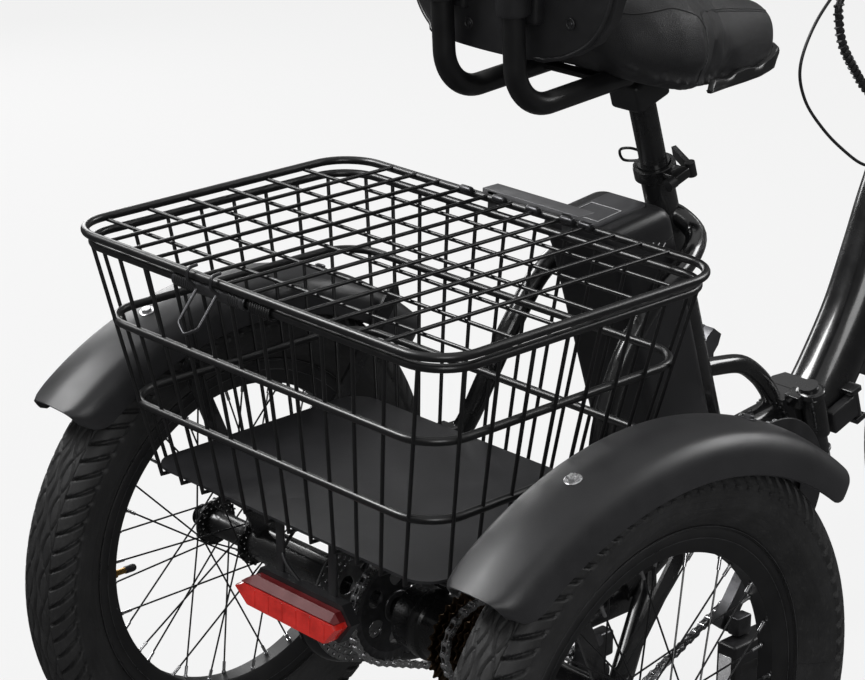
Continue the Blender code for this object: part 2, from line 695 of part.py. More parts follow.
# ---------------------------------------------------------------- front frame, fold latch
MAIN_TUBE = [(0, 0.643, 0.359), (0, 0.6715, 0.3945), (0, 0.715, 0.461), (0, 0.7473, 0.532),
             (0, 0.774, 0.5965), (0, 0.8095, 0.666), (0, 0.855, 0.7195)]
FOLD_LATCH = hinge_at(0.0690, -0.0188, 0.0450)


def front_frame():
    solids = [
        tube(MAIN_TUBE, 0.0375, 12),
        # head tube and its two bearing cups
        rod(head_at(-0.004), head_at(0.122), 0.0230, 12),
        rod(head_at(-0.012), head_at(0.002), 0.0270, 12),
        rod(head_at(0.112), head_at(0.124), 0.0270, 12),
        # hinge body, the block to the main tube, and the middle knuckle with its web
        hinge_half(1),
        hinge_block((-0.026, 0.0200, -0.036), (0.026, 0.0800, 0.012), 0.005),
        hinge_pin(-0.0185, 0.0265, 0.0120),
        hinge_block((0.020, 0.0030, -0.0180), (0.042, 0.0210, 0.0260)),
        # ears that hold the fold latch, and the plate behind them
        hinge_block((0.022, 0.0600, -0.0020), (0.054, 0.0780, 0.0055)),
        hinge_block((0.022, 0.0600, -0.0430), (0.054, 0.0780, -0.0355)),
        hinge_block((0.018, 0.0600, -0.0410), (0.029, 0.0780, 0.0040)),
    ]
    bores = [rod(head_at(-0.05), head_at(0.18), 0.0158, 12), hinge_pin(-0.06, 0.06, 0.0058)]
    part("front_frame", "frame_paint", solids, bores, pivot=HINGE)


def fold_latch_lever():
    part("fold_latch_lever", "black_plastic", [
        hinge_block((0.0385, 0.0225, -0.0340), (0.0520, 0.0740, -0.0035), 0.003),
        rod(FOLD_LATCH - HINGE_UP * 0.0160, FOLD_LATCH + HINGE_UP * 0.0160, 0.0075, 10),
        hinge_block((0.0310, 0.0230, -0.0300), (0.0480, 0.0330, -0.0190), 0.002),
    ], pivot=FOLD_LATCH)


# ---------------------------------------------------------------- fork, mudguards, lamp
BLADE_X = 0.066
FENDER_R = 0.313         # crown of a mudguard above the axle, less 4 mm
# fraction of the half width, height against the crown
FENDER_ARCH = [(-1.0, -0.044), (-0.93, -0.020), (-0.55, -0.004), (0.0, 0.0), (0.55, -0.004),
               (0.93, -0.020), (1.0, -0.044)]


def fork():
    solids = [
        # steerer and crown
        rod(head_at(-0.020), head_at(0.160), 0.0143, 14),
        block((-0.082, -0.026, -0.014), (0.082, 0.026, 0.014), head_at(-0.030), HEAD_AXES, 0.004),
    ]
    for side in SIDES:
        blade = [head_at(-0.030, 0.0, side * BLADE_X), head_at(-0.250, 0.004, side * BLADE_X),
                 FRONT_AXLE + Vector((side * 0.062, -0.006, 0.016))]
        solids += [tube(blade, 0.0155, 8, 0.12, 2),
                   rod(FRONT_AXLE + X * side * 0.0545, FRONT_AXLE + X * side * 0.0625, 0.017, 12)]
    part("fork", "frame_paint", solids, [cross_rod(FRONT_AXLE, 0.09, 0.0068, 12)],
         pivot=HEAD_LOW)


def mudguard(axle, start, end, rise, steps, half=0.050):
    """A thin arched strip of the given half width, swept from start to end degrees.

    The sweep's centre lies below the axle by rise and 4 mm more.
    """
    low = axle + Vector((0, -0.004, -rise))
    low.y, low.z = axle.y, axle.z
    low = axle + Vector((0, -0.004, -rise))
    r = FENDER_R + rise
    sections = []
    for i in range(steps + 1):
        a = math.radians(start + (end - start) * i / steps)
        d = Vector((0, math.cos(a), math.sin(a)))
        outer = [low + X * (half * u) + d * (r + v) for u, v in FENDER_ARCH]
        inner = [low + X * (half * u * 0.94) + d * (r + v * 0.97 - 0.0032)
                 for u, v in FENDER_ARCH[::-1]]
        sections.append(outer + inner)
    return loft(sections)


def mudguards():
    for name, axle in (("fender_left", LEFT_WHEEL), ("fender_right", RIGHT_WHEEL)):
        part(name, "fender_plastic", [mudguard(axle, 46, 130, 0.081, 8)])
    part("fender_front", "fender_plastic", [mudguard(FRONT_AXLE, 36, 158, 0.040, 10, 0.046)],
         pivot=HEAD_LOW)


def headlight():
    profile = [(0.0, 0.0), (0.0, 0.016), (0.010, 0.027), (0.040, 0.030), (0.046, 0.024),
               (0.046, 0.0)]
    part("headlight", "lamp_lens", [lathe(profile, 16, head_at(-0.028, 0.0275), HEAD_AHEAD)],
         pivot=HEAD_LOW)


# ---------------------------------------------------------------- folding stem
STEM_LATCH = head_at(0.160, -0.031)


def stem_base():
    solids = [
        rod(head_at(0.1245), head_at(0.1720), 0.0220, 16),
        block((-0.0175, 0.010, 0.158), (0.0175, 0.038, 0.1715), HEAD_LOW, HEAD_AXES),
        # two ears, their knuckles and the pin
        block((-0.0175, -0.004, -0.015), (-0.0095, 0.004, 0.0), STEM_PIVOT, HEAD_AXES),
        block((0.0095, -0.004, -0.015), (0.0175, 0.004, 0.0), STEM_PIVOT, HEAD_AXES),
        rod(STEM_PIVOT - X * 0.018, STEM_PIVOT - X * 0.0085, 0.0080, 12),
        rod(STEM_PIVOT + X * 0.0085, STEM_PIVOT + X * 0.018, 0.0080, 12),
        cross_rod(STEM_PIVOT, 0.016, 0.0030, 8),
    ]
    part("stem_base", "frame_paint", solids, [rod(head_at(0.10), head_at(0.163), 0.0150, 14)],
         pivot=HEAD_LOW)


def stem_riser():
    solids = [
        # foot, post and handlebar clamp
        rod(head_at(0.1728), head_at(0.190), 0.0220, 16),
        rod(head_at(0.186), head_at(BAR_UP - 0.006), 0.0165, 14),
        cross_rod(BAR_CENTRE, 0.024, 0.0200, 14),
        # middle knuckle and its web
        cross_rod(STEM_PIVOT, 0.0080, 0.0080, 12),
        block((-0.0080, 0.012, 0.181), (0.0080, 0.034, 0.192), HEAD_LOW, HEAD_AXES),
    ]
    bores = [cross_rod(BAR_CENTRE, 0.05, 0.0121, 14), cross_rod(STEM_PIVOT, 0.02, 0.0036, 8)]
    part("stem_riser", "frame_paint", solids, bores, pivot=STEM_PIVOT)


def stem_latch():
    part("stem_latch", "dark_steel", [
        cross_rod(STEM_LATCH, 0.009, 0.0060, 10),
        block((-0.008, -0.008, -0.006), (0.008, -0.002, 0.050), STEM_LATCH, HEAD_AXES, 0.002),
    ], pivot=STEM_LATCH)


# ---------------------------------------------------------------- handlebar and controls
# right half, from the tip in to the clamp
BAR_HALF = [Vector(p) for p in (
    (0.338, 0.640, 1.082), (0.205, 0.705, 1.100), (0.125, 0.742, 1.088), (0.065, 0.748, 1.040),
    (0.035, BAR_CENTRE.y, BAR_CENTRE.z))]
GRIP_DIR = (BAR_HALF[0] - BAR_HALF[1]).normalized()
CLAMP_ALONG = 0.030      # brake lever clamp, out from the bar's last bend
THROTTLE_ALONG = 0.041


def on_bar(side, along):
    """A point out from the last bend of the bar."""
    return on_side(side, [BAR_HALF[1] + GRIP_DIR * along])[0]


def grip_axes(side):
    """Outward along the grip, ahead of it, and up."""
    outward, ahead = on_side(side, [GRIP_DIR, Z.cross(GRIP_DIR).normalized()])
    return outward, ahead, outward.cross(ahead).normalized() * side


def handlebar():
    """The bar, with a clamp and two lugs for each brake lever."""
    solids = [tube(BAR_HALF + on_side(-1, BAR_HALF)[::-1], 0.0111, 8, 0.05, 2, up=Z)]
    for side in SIDES:
        axes = grip_axes(side)
        outward = axes[0]
        clamp = on_bar(side, CLAMP_ALONG)
        solids.append(rod(clamp - outward * 0.009, clamp + outward * 0.009, 0.0170, 8))
        for z0, z1 in ((-0.010, -0.0045), (0.0045, 0.010)):
            solids.append(block((-0.009, 0.012, z0), (0.009, 0.040, z1), clamp, axes))
    part("handlebar", "frame_paint", solids, pivot=STEM_PIVOT)


def grip(name, side, along, length):
    profile = [(0.0, 0.0119), (0.0, 0.0175), (0.004, 0.0160), (length, 0.0160),
               (length + 0.006, 0.0175), (length + 0.010, 0.0150), (length + 0.010, 0.0119)]
    part("grip_" + name, "grip_rubber",
         [lathe(profile, 14, on_bar(side, along), grip_axes(side)[0], looped=True)],
         pivot=STEM_PIVOT)


def brake_lever(name, side):
    outward, ahead, up = grip_axes(side)
    pivot = on_bar(side, CLAMP_ALONG) + ahead * 0.032
    # outward, ahead
    bends = [(0.022, 0.006), (0.050, 0.010), (0.105, 0.004), (0.118, 0.010)]
    path = [pivot] + [pivot + outward * a + ahead * b for a, b in bends]
    part("brake_lever_" + name, "dark_steel",
         [rod(pivot - up * 0.0040, pivot + up * 0.0040, 0.0075, 10),
          sweep(path, rectangle(0.0035, 0.0055), up=up)], pivot=pivot)


def throttle_lever():
    """A ring inboard of the right grip, with a thumb tab behind and below."""
    axes = grip_axes(1)
    centre = on_bar(1, THROTTLE_ALONG)
    ring = [(0.0, 0.0121), (0.0, 0.0175), (0.0125, 0.0175), (0.0125, 0.0121)]
    part("throttle_lever", "black_plastic",
         [lathe(ring, 14, centre, axes[0], looped=True),
          block((0.001, -0.030, -0.020), (0.0115, -0.010, -0.012), centre, axes, 0.002)],
         pivot=centre)


def display_unit():
    axes = (X, (Y * 0.94 + Z * 0.34).normalized(), (Z * 0.94 - Y * 0.34).normalized())
    part("display_unit", "display_gloss",
         [block((-0.040, -0.024, 0.0225), (0.040, 0.024, 0.0360), BAR_CENTRE, axes, 0.004)],
         pivot=STEM_PIVOT)


# ---------------------------------------------------------------- seat post and saddle
COLLAR = seat_at(0.424)
QUICK_RELEASE_UP = 0.436
QUICK_RELEASE_X = 0.036
# y, half width, bottom z, top z, z of the hollow's roof
SADDLE = [
    (0.172, 0.084, 0.890, 0.922, 0.893), (0.200, 0.114, 0.856, 0.940, 0.872),
    (0.250, 0.1255, 0.842, 0.944, 0.867), (0.310, 0.104, 0.825, 0.930, 0.865),
    (0.370, 0.070, 0.816, 0.908, 0.858), (0.430, 0.052, 0.811, 0.892, 0.850),
    (0.480, 0.042, 0.812, 0.882, 0.846), (0.500, 0.034, 0.815, 0.874, 0.820),
    (0.512, 0.022, 0.824, 0.862, 0.827)]


def seat_post_and_collar():
    part("seat_post", "hub_black", [rod(seat_at(0.190), seat_at(0.522), 0.0152, 12)],
         pivot=SEAT_PIVOT)
    ring = [(0.006, 0.0187), (0.006, 0.0240), (0.021, 0.0240), (0.021, 0.0187)]
    part("seat_collar", "hub_black", [
        lathe(ring, 16, COLLAR, SEAT_UP, looped=True),
        block((0.019, -0.0115, 0.0075), (0.042, 0.0115, 0.0190), COLLAR, SEAT_AXES, 0.002),
        rod(seat_at(QUICK_RELEASE_UP, 0.010, QUICK_RELEASE_X),
            seat_at(QUICK_RELEASE_UP, 0.0215, QUICK_RELEASE_X), 0.0070, 8)])


def seat_qr_lever():
    pivot = seat_at(QUICK_RELEASE_UP, -0.0185, QUICK_RELEASE_X)
    part("seat_qr_lever", "black_plastic",
         [rod(pivot - SEAT_UP * 0.0085, pivot + SEAT_UP * 0.0085, 0.0058, 8),
          sweep([pivot, seat_at(QUICK_RELEASE_UP, -0.0400, -0.006)],
                rectangle(0.0070, 0.0028), up=SEAT_UP)], pivot=pivot)


def saddle_base():
    part("saddle_base", "black_plastic", [
        # clamp on the seat post, and the plate behind it
        block((-0.022, -0.026, 0.0005), (0.022, 0.026, 0.034), seat_at(0.5228), SEAT_AXES, 0.005),
        block((-0.047, 0.245, 0.8450), (0.047, 0.340, 0.8540), bevel=0.002),
        # two rails
        rod((-0.022, 0.300, 0.838), (-0.022, 0.430, 0.832), 0.0045, 8),
        rod((0.022, 0.300, 0.838), (0.022, 0.430, 0.832), 0.0045, 8),
        # cross pieces at the front, the middle and the rear
        block((-0.030, 0.400, 0.822), (0.030, 0.440, 0.8290)),
        block((-0.018, 0.290, 0.815), (0.018, 0.345, 0.848)),
        block((-0.026, 0.236, 0.834), (0.026, 0.262, 0.852)),
    ], pivot=SEAT_PIVOT)


def saddle_section(y, w, z0, z1, roof):
    """The sides hang down as a skirt round a hollow underside."""
    h = z1 - z0
    half = [(w * 0.985, z0), (w, z0 + 0.22 * h), (w * 0.96, z0 + 0.58 * h),
            (w * 0.80, z0 + 0.86 * h), (w * 0.50, z0 + 0.98 * h), (0.0, z1)]
    wall = min(0.012, 0.35 * w)
    under = [(w - wall, z0), (w - 1.4 * wall, roof)]
    outline = (half + [(-x, z) for x, z in half[-2::-1]]
               + [(-x, z) for x, z in under] + under[::-1])
    return [Vector((x, y, z)) for x, z in outline]


def saddle_cushion():
    part("saddle_cushion", "leather", [loft([saddle_section(*row) for row in SADDLE])],
         pivot=SEAT_PIVOT, sharp=60)


# ---------------------------------------------------------------- backrest
TUBE_X = 0.0507          # backrest tubes, each side of the mid-plane
BACK_PIVOT = (0, 0.06, 0.94)
BACK_CURVE = 1.3         # y gained per square of x
# z, half width
SHELL = [(0.893, 0.070), (0.905, 0.108), (0.930, 0.136), (0.970, 0.150), (1.060, 0.152),
         (1.105, 0.140), (1.130, 0.112), (1.140, 0.070)]
# z, half width, thickness
PAD = [(0.915, 0.080, 0.014), (0.930, 0.112, 0.030), (0.960, 0.132, 0.040),
       (1.010, 0.138, 0.044), (1.060, 0.136, 0.042), (1.095, 0.122, 0.034),
       (1.118, 0.084, 0.016)]
ACROSS = (-1, -0.6, 0, 0.6, 1)
PAD_FRONT_ACROSS = (0.92, 0.55, 0, -0.55, -0.92)


def curved_row(w, fractions, y, z):
    """Points across the backrest, whose edges curve forward."""
    return [(w * u, y + BACK_CURVE * (w * u) ** 2, z) for u in fractions]


def backrest_frame():
    """Two bent tubes and a flat plate that joins them under the saddle."""
    path = [(TUBE_X, 0.060, 0.985), (TUBE_X, 0.070, 0.838), (TUBE_X, 0.234, 0.8500)]
    tubes = [tube(on_side(side, path), 0.0118, 10, 0.048, 4) for side in SIDES]
    plate = block((-0.0500, 0.2040, 0.8440), (0.0500, 0.2220, 0.8500))
    part("backrest_frame", "gloss_rod", tubes + [plate], pivot=SEAT_PIVOT)


def backrest_shell():
    """A curved plate with two sockets on its back for the tubes."""
    solids = [loft([curved_row(w, ACROSS, 0.080, z) + curved_row(w, ACROSS[::-1], 0.096, z)
                    for z, w in SHELL])]
    bores = []
    for side in SIDES:
        x = side * TUBE_X
        low, high = Vector((x, 0.0630, 0.9405)), Vector((x, 0.0590, 1.010))
        solids.append(rod(low, high, 0.0172, 14))
        solids.append(block((x - 0.012, 0.068, 0.945), (x + 0.012, 0.088, 1.006)))
        bores.append(rod(low - (high - low) * 0.3, high - (high - low) * 0.12, 0.0130, 14))
    part("backrest_shell", "black_plastic", solids, bores, pivot=BACK_PIVOT)


def backrest_pad():
    back = 0.0985
    rings = [curved_row(w, ACROSS, back, z) + curved_row(w, PAD_FRONT_ACROSS, back + thick, z)
             for z, w, thick in PAD]
    part("backrest_pad", "leather", [loft(rings)], pivot=BACK_PIVOT, sharp=60)


# ---------------------------------------------------------------- battery
# up the seat tube, half width, front and rear distance behind the tube, slope of the section
BATTERY = [(0.086, 0.049, 0.040, 0.122, 0), (0.096, 0.0525, 0.0365, 0.1285, 0),
           (0.400, 0.0535, 0.0365, 0.1305, 0), (0.420, 0.0530, 0.0365, 0.1370, 0.2037),
           (0.434, 0.0480, 0.0410, 0.1290, 0.2037)]
BATTERY_CHAMFER = 0.010


def battery():
    # a rail up the back of the seat tube, and a shelf at its foot
    part("battery_dock", "black_plastic", [
        block((-0.026, 0.0190, 0.076), (0.026, 0.0345, 0.395), SEAT_FOOT, SEAT_AXES, 0.002),
        block((-0.046, 0.0190, 0.072), (0.046, 0.124, 0.0825), SEAT_FOOT, SEAT_AXES, 0.002)])
    sections = []
    c = BATTERY_CHAMFER
    for up, w, d0, d1, slope in BATTERY:
        outline = [(-w, d0 + c), (-w + c, d0), (w - c, d0), (w, d0 + c),
                   (w, d1 - c), (w - c, d1), (-w + c, d1), (-w, d1 - c)]
        sections.append([seat_at(up + slope * (d - 0.041), d, x) for x, d in outline])
    part("battery_case", "battery_shell", [loft(sections)], pivot=seat_at(0.086, 0.08))


# ---------------------------------------------------------------- basket
BASKET_X = -0.018        # middle of the basket
RIM_Z = 0.691
FLOOR_Z = 0.446
LID_Z = 0.704
ROD_R, WIRE_R = 0.0045, 0.0021
WIRE_INSET = 0.030       # end wires of a side, in from the corner
# z, half width, rear y, front y; the first three carry a hoop
LEVELS = [(RIM_Z, 0.2725, -0.230, 0.150), (0.610, 0.2510, -0.2185, 0.1355),
          (0.521, 0.2330, -0.2045, 0.1245), (0.4425, 0.2165, -0.1920, 0.1160)]
LID_HALF = 0.2775
LID_REAR, LID_FRONT = -0.237, 0.157
HINGE_TABS_X = ((-0.110, -0.096), (0.036, 0.050))
LID_LATCH = Vector((0, -0.230, RIM_Z))


def rounded_loop(half_x, y0, y1, z, r):
    """A level rounded rectangle about the basket's middle."""
    x0, x1 = BASKET_X - half_x, BASKET_X + half_x
    points = []
    for cx, cy, start in ((x1 - r, y1 - r, 0), (x0 + r, y1 - r, 90),
                          (x0 + r, y0 + r, 180), (x1 - r, y0 + r, 270)):
        for k in range(4):
            a = math.radians(start + 90 * k / 3)
            points.append(Vector((cx + r * math.cos(a), cy + r * math.sin(a), z)))
    return points


def hoop(half_x, y0, y1, z, r):
    return sweep(rounded_loop(half_x, y0, y1, z, r), circle(ROD_R, 5), True, Z)


def basket_wire(inward, u):
    """A wire down one side, at u from -1 to 1 along it; its foot turns inward."""
    points = []
    for z, half_x, rear, front in (LEVELS[0], LEVELS[-1]):
        if inward.y:
            x = BASKET_X + u * (half_x - WIRE_INSET)
            y = front if inward.y < 0 else rear
        else:
            x = BASKET_X - inward.x * half_x
            y = (rear + front) / 2 + u * ((front - rear) / 2 - WIRE_INSET)
        points.append(Vector((x, y, z)))
    points.append(points[-1] + inward * 0.012 - Z * 0.0006)
    return sweep(points, circle(WIRE_R, 3), up=inward)


def basket():
    wires = [hoop(half_x, rear, front, z, 0.045) for z, half_x, rear, front in LEVELS[:3]]
    # rear and front, then right and left
    for count, inwards in ((12, (Y, -Y)), (8, (-X, X))):
        for i in range(count):
            u = -1 + 2 * i / (count - 1)
            wires += [basket_wire(inward, u) for inward in inwards]
    part("basket", "gloss_rod", wires)


def basket_floor():
    """A sheet just inside the walls, whose size there lies between the two lowest levels."""
    (z1, *upper), (z0, *lower) = LEVELS[2:]
    f = (FLOOR_Z - z0) / (z1 - z0)
    half_x, rear, front = [low + (high - low) * f for high, low in zip(upper, lower)]
    gap = 0.0045
    part("basket_floor", "floor_sheet",
         [loft([rounded_loop(half_x - gap, rear + gap, front - gap, z, 0.030)
                for z in (0.4450, 0.4480)])])


def basket_lid():
    """A hoop with wires along Y above its middle and wires along X below."""
    solids = [hoop(LID_HALF, LID_REAR, LID_FRONT, LID_Z, 0.048)]
    for i in range(12):
        x = BASKET_X + (i - 5.5) * 0.037
        z = LID_Z + 0.0024
        solids.append(rod((x, LID_REAR, z), (x, LID_FRONT, z), WIRE_R, 3))
    for i in range(6):
        y = -0.186 + 0.0546 * i
        z = LID_Z - 0.0024
        solids.append(rod((BASKET_X - LID_HALF, y, z), (BASKET_X + LID_HALF, y, z), WIRE_R, 3))
    part("basket_lid", "gloss_rod", solids, pivot=(0, LID_FRONT, LID_Z))


def lid_hinge_plate():
    """A flat plate with a lip, and two tabs that hang down and turn in under the rim."""
    solids = [block((-0.120, 0.1625, 0.7092), (0.060, 0.1860, 0.7116)),
              block((-0.120, 0.1625, 0.7010), (0.060, 0.1650, 0.7110))]
    solids += [block((x0, 0.1625, 0.6800), (x1, 0.1650, 0.7110)) for x0, x1 in HINGE_TABS_X]
    solids += [block((x0, 0.1560, 0.6800), (x1, 0.1640, 0.6845)) for x0, x1 in HINGE_TABS_X]
    part("lid_hinge_plate", "frame_paint", solids)


def lid_latch():
    """A slotted sleeve round the rear rim, with two hooks above and a pull loop below."""
    sleeve = [(-0.122, 0.0056), (-0.122, 0.0082), (-0.012, 0.0082), (-0.012, 0.0056)]
    hook = [(-0.007, 0.001), (-0.0165, 0.010), (-0.0150, 0.0215), (-0.0035, 0.0222)]   # y, z
    pull = [(-0.083, -0.007, -0.001), (-0.083, -0.031, -0.030), (-0.068, -0.036, -0.038),
            (-0.053, -0.031, -0.030), (-0.053, -0.007, -0.001)]
    paths = [[(x, y, z) for y, z in hook] for x in (-0.086, -0.050)] + [pull]
    solids = [lathe(sleeve, 8, LID_LATCH, looped=True)]
    solids += [tube([LID_LATCH + Vector(p) for p in path], 0.0017, 4) for path in paths]
    slots = [block((x - 0.0046, -0.0095, -0.0120), (x + 0.0046, 0.0095, 0.0006), LID_LATCH)
             for x in (-0.0841, -0.0400)]
    part("lid_latch", "dark_steel", solids, slots, pivot=LID_LATCH)


# ---------------------------------------------------------------- tail light
STRIPS_X = (-0.030, 0.050)
LIGHT_X, LIGHT_Z = 0.01, 0.364   # point that the lens narrows towards
# outlines: x, z
HOUSING_OUTLINE = [(-0.066, 0.364), (-0.050, 0.386), (0.074, 0.386), (0.088, 0.368),
                   (0.070, 0.343), (-0.048, 0.345)]
LENS_OUTLINE = [(-0.073, 0.364), (-0.052, 0.381), (0.080, 0.380), (0.092, 0.367),
                (0.068, 0.346), (-0.054, 0.348)]
# y, scale in x, scale in z
LENS_STATIONS = [(-0.1889, 1.0, 1.0), (-0.1960, 0.97, 0.97), (-0.2040, 0.93, 0.72)]


def tail_light():
    # two strips hang from under the basket, each with a foot turned forward at the top
    solids = [block((x - 0.006, -0.1800, 0.370), (x + 0.006, -0.1770, 0.4415))
              for x in STRIPS_X]
    solids += [block((x - 0.006, -0.1800, 0.4385), (x + 0.006, -0.150, 0.4415))
               for x in STRIPS_X]
    solids.append(loft([[(x, y, z) for x, z in HOUSING_OUTLINE] for y in (-0.1885, -0.1765)]))
    part("tail_light_housing", "black_plastic", solids)
    lens = [[(LIGHT_X + (x - LIGHT_X) * scale_x, y, LIGHT_Z + (z - LIGHT_Z) * scale_z)
             for x, z in LENS_OUTLINE] for y, scale_x, scale_z in LENS_STATIONS]
    part("tail_light_lens", "red_lens", [loft(lens)])


# ---------------------------------------------------------------- build
for old in list(bpy.data.objects):
    bpy.data.objects.remove(old)

wheels()
chains()
axle_and_motor_parts()
crankset()
pedal("right", 1)
pedal("left", -1)
derailleur_body()
derailleur_cage()
brake_caliper()
rear_frame()
front_frame()
fold_latch_lever()
fork()
mudguards()
headlight()
stem_base()
stem_riser()
stem_latch()
handlebar()
grip("left", -1, along=0.044, length=0.108)
grip("right", 1, along=0.056, length=0.096)
brake_lever("left", -1)
brake_lever("right", 1)
throttle_lever()
display_unit()
seat_post_and_collar()
seat_qr_lever()
saddle_base()
saddle_cushion()
backrest_frame()
backrest_shell()
backrest_pad()
battery()
basket()
basket_floor()
basket_lid()
lid_hinge_plate()
lid_latch()
tail_light()
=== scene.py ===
"""Looks for a folding adult tricycle: detailed pieces, materials, floor, lights and camera.

Pieces are worked out in metres with +X to the rider's right, +Y ahead and +Z up, the rear axle
over y = 0 and the floor at z = 0. Each finished mesh moves back by ORIGIN_Y, half the wheelbase,
so that the scene's origin lies midway between the axles. Shape helpers return a bmesh.
"""
import json
import math

import bmesh
import bpy
import numpy as np
from mathutils import Matrix, Vector
from mathutils.bvhtree import BVHTree

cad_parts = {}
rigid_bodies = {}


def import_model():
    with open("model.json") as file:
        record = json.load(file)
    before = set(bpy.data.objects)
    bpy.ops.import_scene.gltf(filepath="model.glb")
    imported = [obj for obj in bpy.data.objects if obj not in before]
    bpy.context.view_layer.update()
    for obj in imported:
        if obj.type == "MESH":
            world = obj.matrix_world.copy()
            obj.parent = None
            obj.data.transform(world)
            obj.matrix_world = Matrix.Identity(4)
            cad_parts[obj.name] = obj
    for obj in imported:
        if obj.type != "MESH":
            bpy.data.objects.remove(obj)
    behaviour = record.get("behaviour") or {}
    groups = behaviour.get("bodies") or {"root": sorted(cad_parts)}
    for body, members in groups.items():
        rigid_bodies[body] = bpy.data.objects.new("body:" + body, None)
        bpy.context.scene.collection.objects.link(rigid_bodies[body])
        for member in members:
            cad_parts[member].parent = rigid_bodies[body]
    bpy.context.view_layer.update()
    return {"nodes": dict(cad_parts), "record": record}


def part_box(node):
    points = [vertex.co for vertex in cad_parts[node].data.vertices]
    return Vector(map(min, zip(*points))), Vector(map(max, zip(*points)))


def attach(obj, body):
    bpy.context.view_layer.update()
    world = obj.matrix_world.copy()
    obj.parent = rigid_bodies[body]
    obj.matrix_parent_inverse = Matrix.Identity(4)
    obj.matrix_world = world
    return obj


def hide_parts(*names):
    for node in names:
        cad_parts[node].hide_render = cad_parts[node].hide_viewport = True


for old in list(bpy.data.objects):
    bpy.data.objects.remove(old)
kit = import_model()
BODY_OF = {node: body for body, nodes in kit["record"]["behaviour"]["bodies"].items()
           for node in nodes}
SLOT_OF = {entry["node"]: entry["material_slot"] for entry in kit["record"]["subparts"]}

# ---------------------------------------------------------------- driving dimensions
X = Vector((1.0, 0.0, 0.0))
Y = Vector((0.0, 1.0, 0.0))
Z = Vector((0.0, 0.0, 1.0))

WHEEL_R = 0.282
TRACK_HALF = 0.317         # rear wheel mid-plane
WHEELBASE = 1.070
ORIGIN_Y = WHEELBASE / 2
SPOKES = 36
HUB_FLANGE = 0.037         # flange distance from the wheel mid-plane
AXLE = Vector((0.0, 0.0, WHEEL_R))
LEFT = AXLE - X * TRACK_HALF
RIGHT = AXLE + X * TRACK_HALF
FRONT_AXLE = Vector((0.0, WHEELBASE, WHEEL_R))

CRANK = Vector((0.0, 0.4718, 0.3150))
CRANK_LEN = 0.152
CRANK_DIR = Vector((0.0, -0.0909, -0.120)).normalized()   # the right arm's
PEDAL_X = 0.1275           # middle of a folded pedal
PEDAL_CHAIN_X = 0.075
MOTOR_CHAIN_X = -0.048
MOTOR = Vector((0.0, 0.130, 0.190))
UPPER_PULLEY = Vector((PEDAL_CHAIN_X, 0.158, 0.205))
LOWER_PULLEY = Vector((PEDAL_CHAIN_X, 0.196, 0.128))
RING_R, COG_R, AXLE_SPROCKET_R, MOTOR_SPROCKET_R = 0.0850, 0.0455, 0.0648, 0.0265   # pitch radii
UPPER_PULLEY_R, LOWER_PULLEY_R = 0.0155, 0.0185
SHAFT_GAP = 0.0112         # bore round the rear axle

SEAT_FOOT = Vector((0.0, 0.4767, 0.3000))
SEAT_ANGLE = math.radians(18.0)
HEAD_LOW = Vector((0.0, 0.880, 0.660))        # lower steering bearing
HEAD_ANGLE = math.radians(20.0)
HINGE = Vector((0.042, 0.598, 0.363))         # fold hinge
HINGE_ANGLE = SEAT_ANGLE


def leaning_up(angle):
    """Upwards along an axis that leans back by angle."""
    return Vector((0.0, -math.sin(angle), math.cos(angle)))


def leaning_ahead(angle):
    """Ahead, square to an axis that leans back by angle."""
    return Vector((0.0, math.cos(angle), math.sin(angle)))


# right, along and across each leaning axis, for block()
SEAT_UP, SEAT_BEHIND = leaning_up(SEAT_ANGLE), -leaning_ahead(SEAT_ANGLE)
HEAD_UP, HEAD_AHEAD = leaning_up(HEAD_ANGLE), leaning_ahead(HEAD_ANGLE)
FOLD_UP, FOLD_AHEAD = leaning_up(HINGE_ANGLE), leaning_ahead(HINGE_ANGLE)
SEAT_AXES = (X, SEAT_BEHIND, SEAT_UP)
HEAD_AXES = (X, HEAD_AHEAD, HEAD_UP)
FOLD_AXES = (X, FOLD_AHEAD, FOLD_UP)


def at_seat(up, behind=0.0, x=0.0):
    """A point up the seat tube from its foot, and behind its axis."""
    return SEAT_FOOT + SEAT_UP * up + SEAT_BEHIND * behind + X * x


def at_fold(ahead, up, x=0.0):
    """A point ahead of the fold hinge's axis and up it."""
    return Vector((x, HINGE.y, HINGE.z)) + FOLD_AHEAD * ahead + FOLD_UP * up


def at_head(up, ahead=0.0, x=0.0):
    """A point up the steering axis from the lower bearing, and ahead of it."""
    return HEAD_LOW + HEAD_UP * up + HEAD_AHEAD * ahead + X * x


def radial(angle, radius=1.0, x=0.0):
    """An offset from the X axis, at angle from +Y towards +Z."""
    return Vector((x, radius * math.cos(angle), radius * math.sin(angle)))


def around(centre, angle, radius, x=0.0):
    """A point on a circle about an axis through centre along X."""
    return Vector((centre.x + x, centre.y + radius * math.cos(angle),
                   centre.z + radius * math.sin(angle)))


# ================================================================ materials
def set_inputs(tree, node, inputs):
    """Links each input that is given a socket, and sets the others to their values."""
    for key, value in inputs.items():
        if isinstance(value, bpy.types.NodeSocket):
            tree.links.new(value, node.inputs[key])
        else:
            node.inputs[key].default_value = value


def add_node(tree, kind, inputs, **properties):
    node = tree.nodes.new(kind)
    for key, value in properties.items():
        setattr(node, key, value)
    set_inputs(tree, node, inputs)
    return node


def object_place(tree):
    return add_node(tree, "ShaderNodeTexCoord", {}).outputs["Object"]


def rgba(value):
    """A grey level or an RGB triple as an opaque colour."""
    return (*np.broadcast_to(value, 3), 1.0)


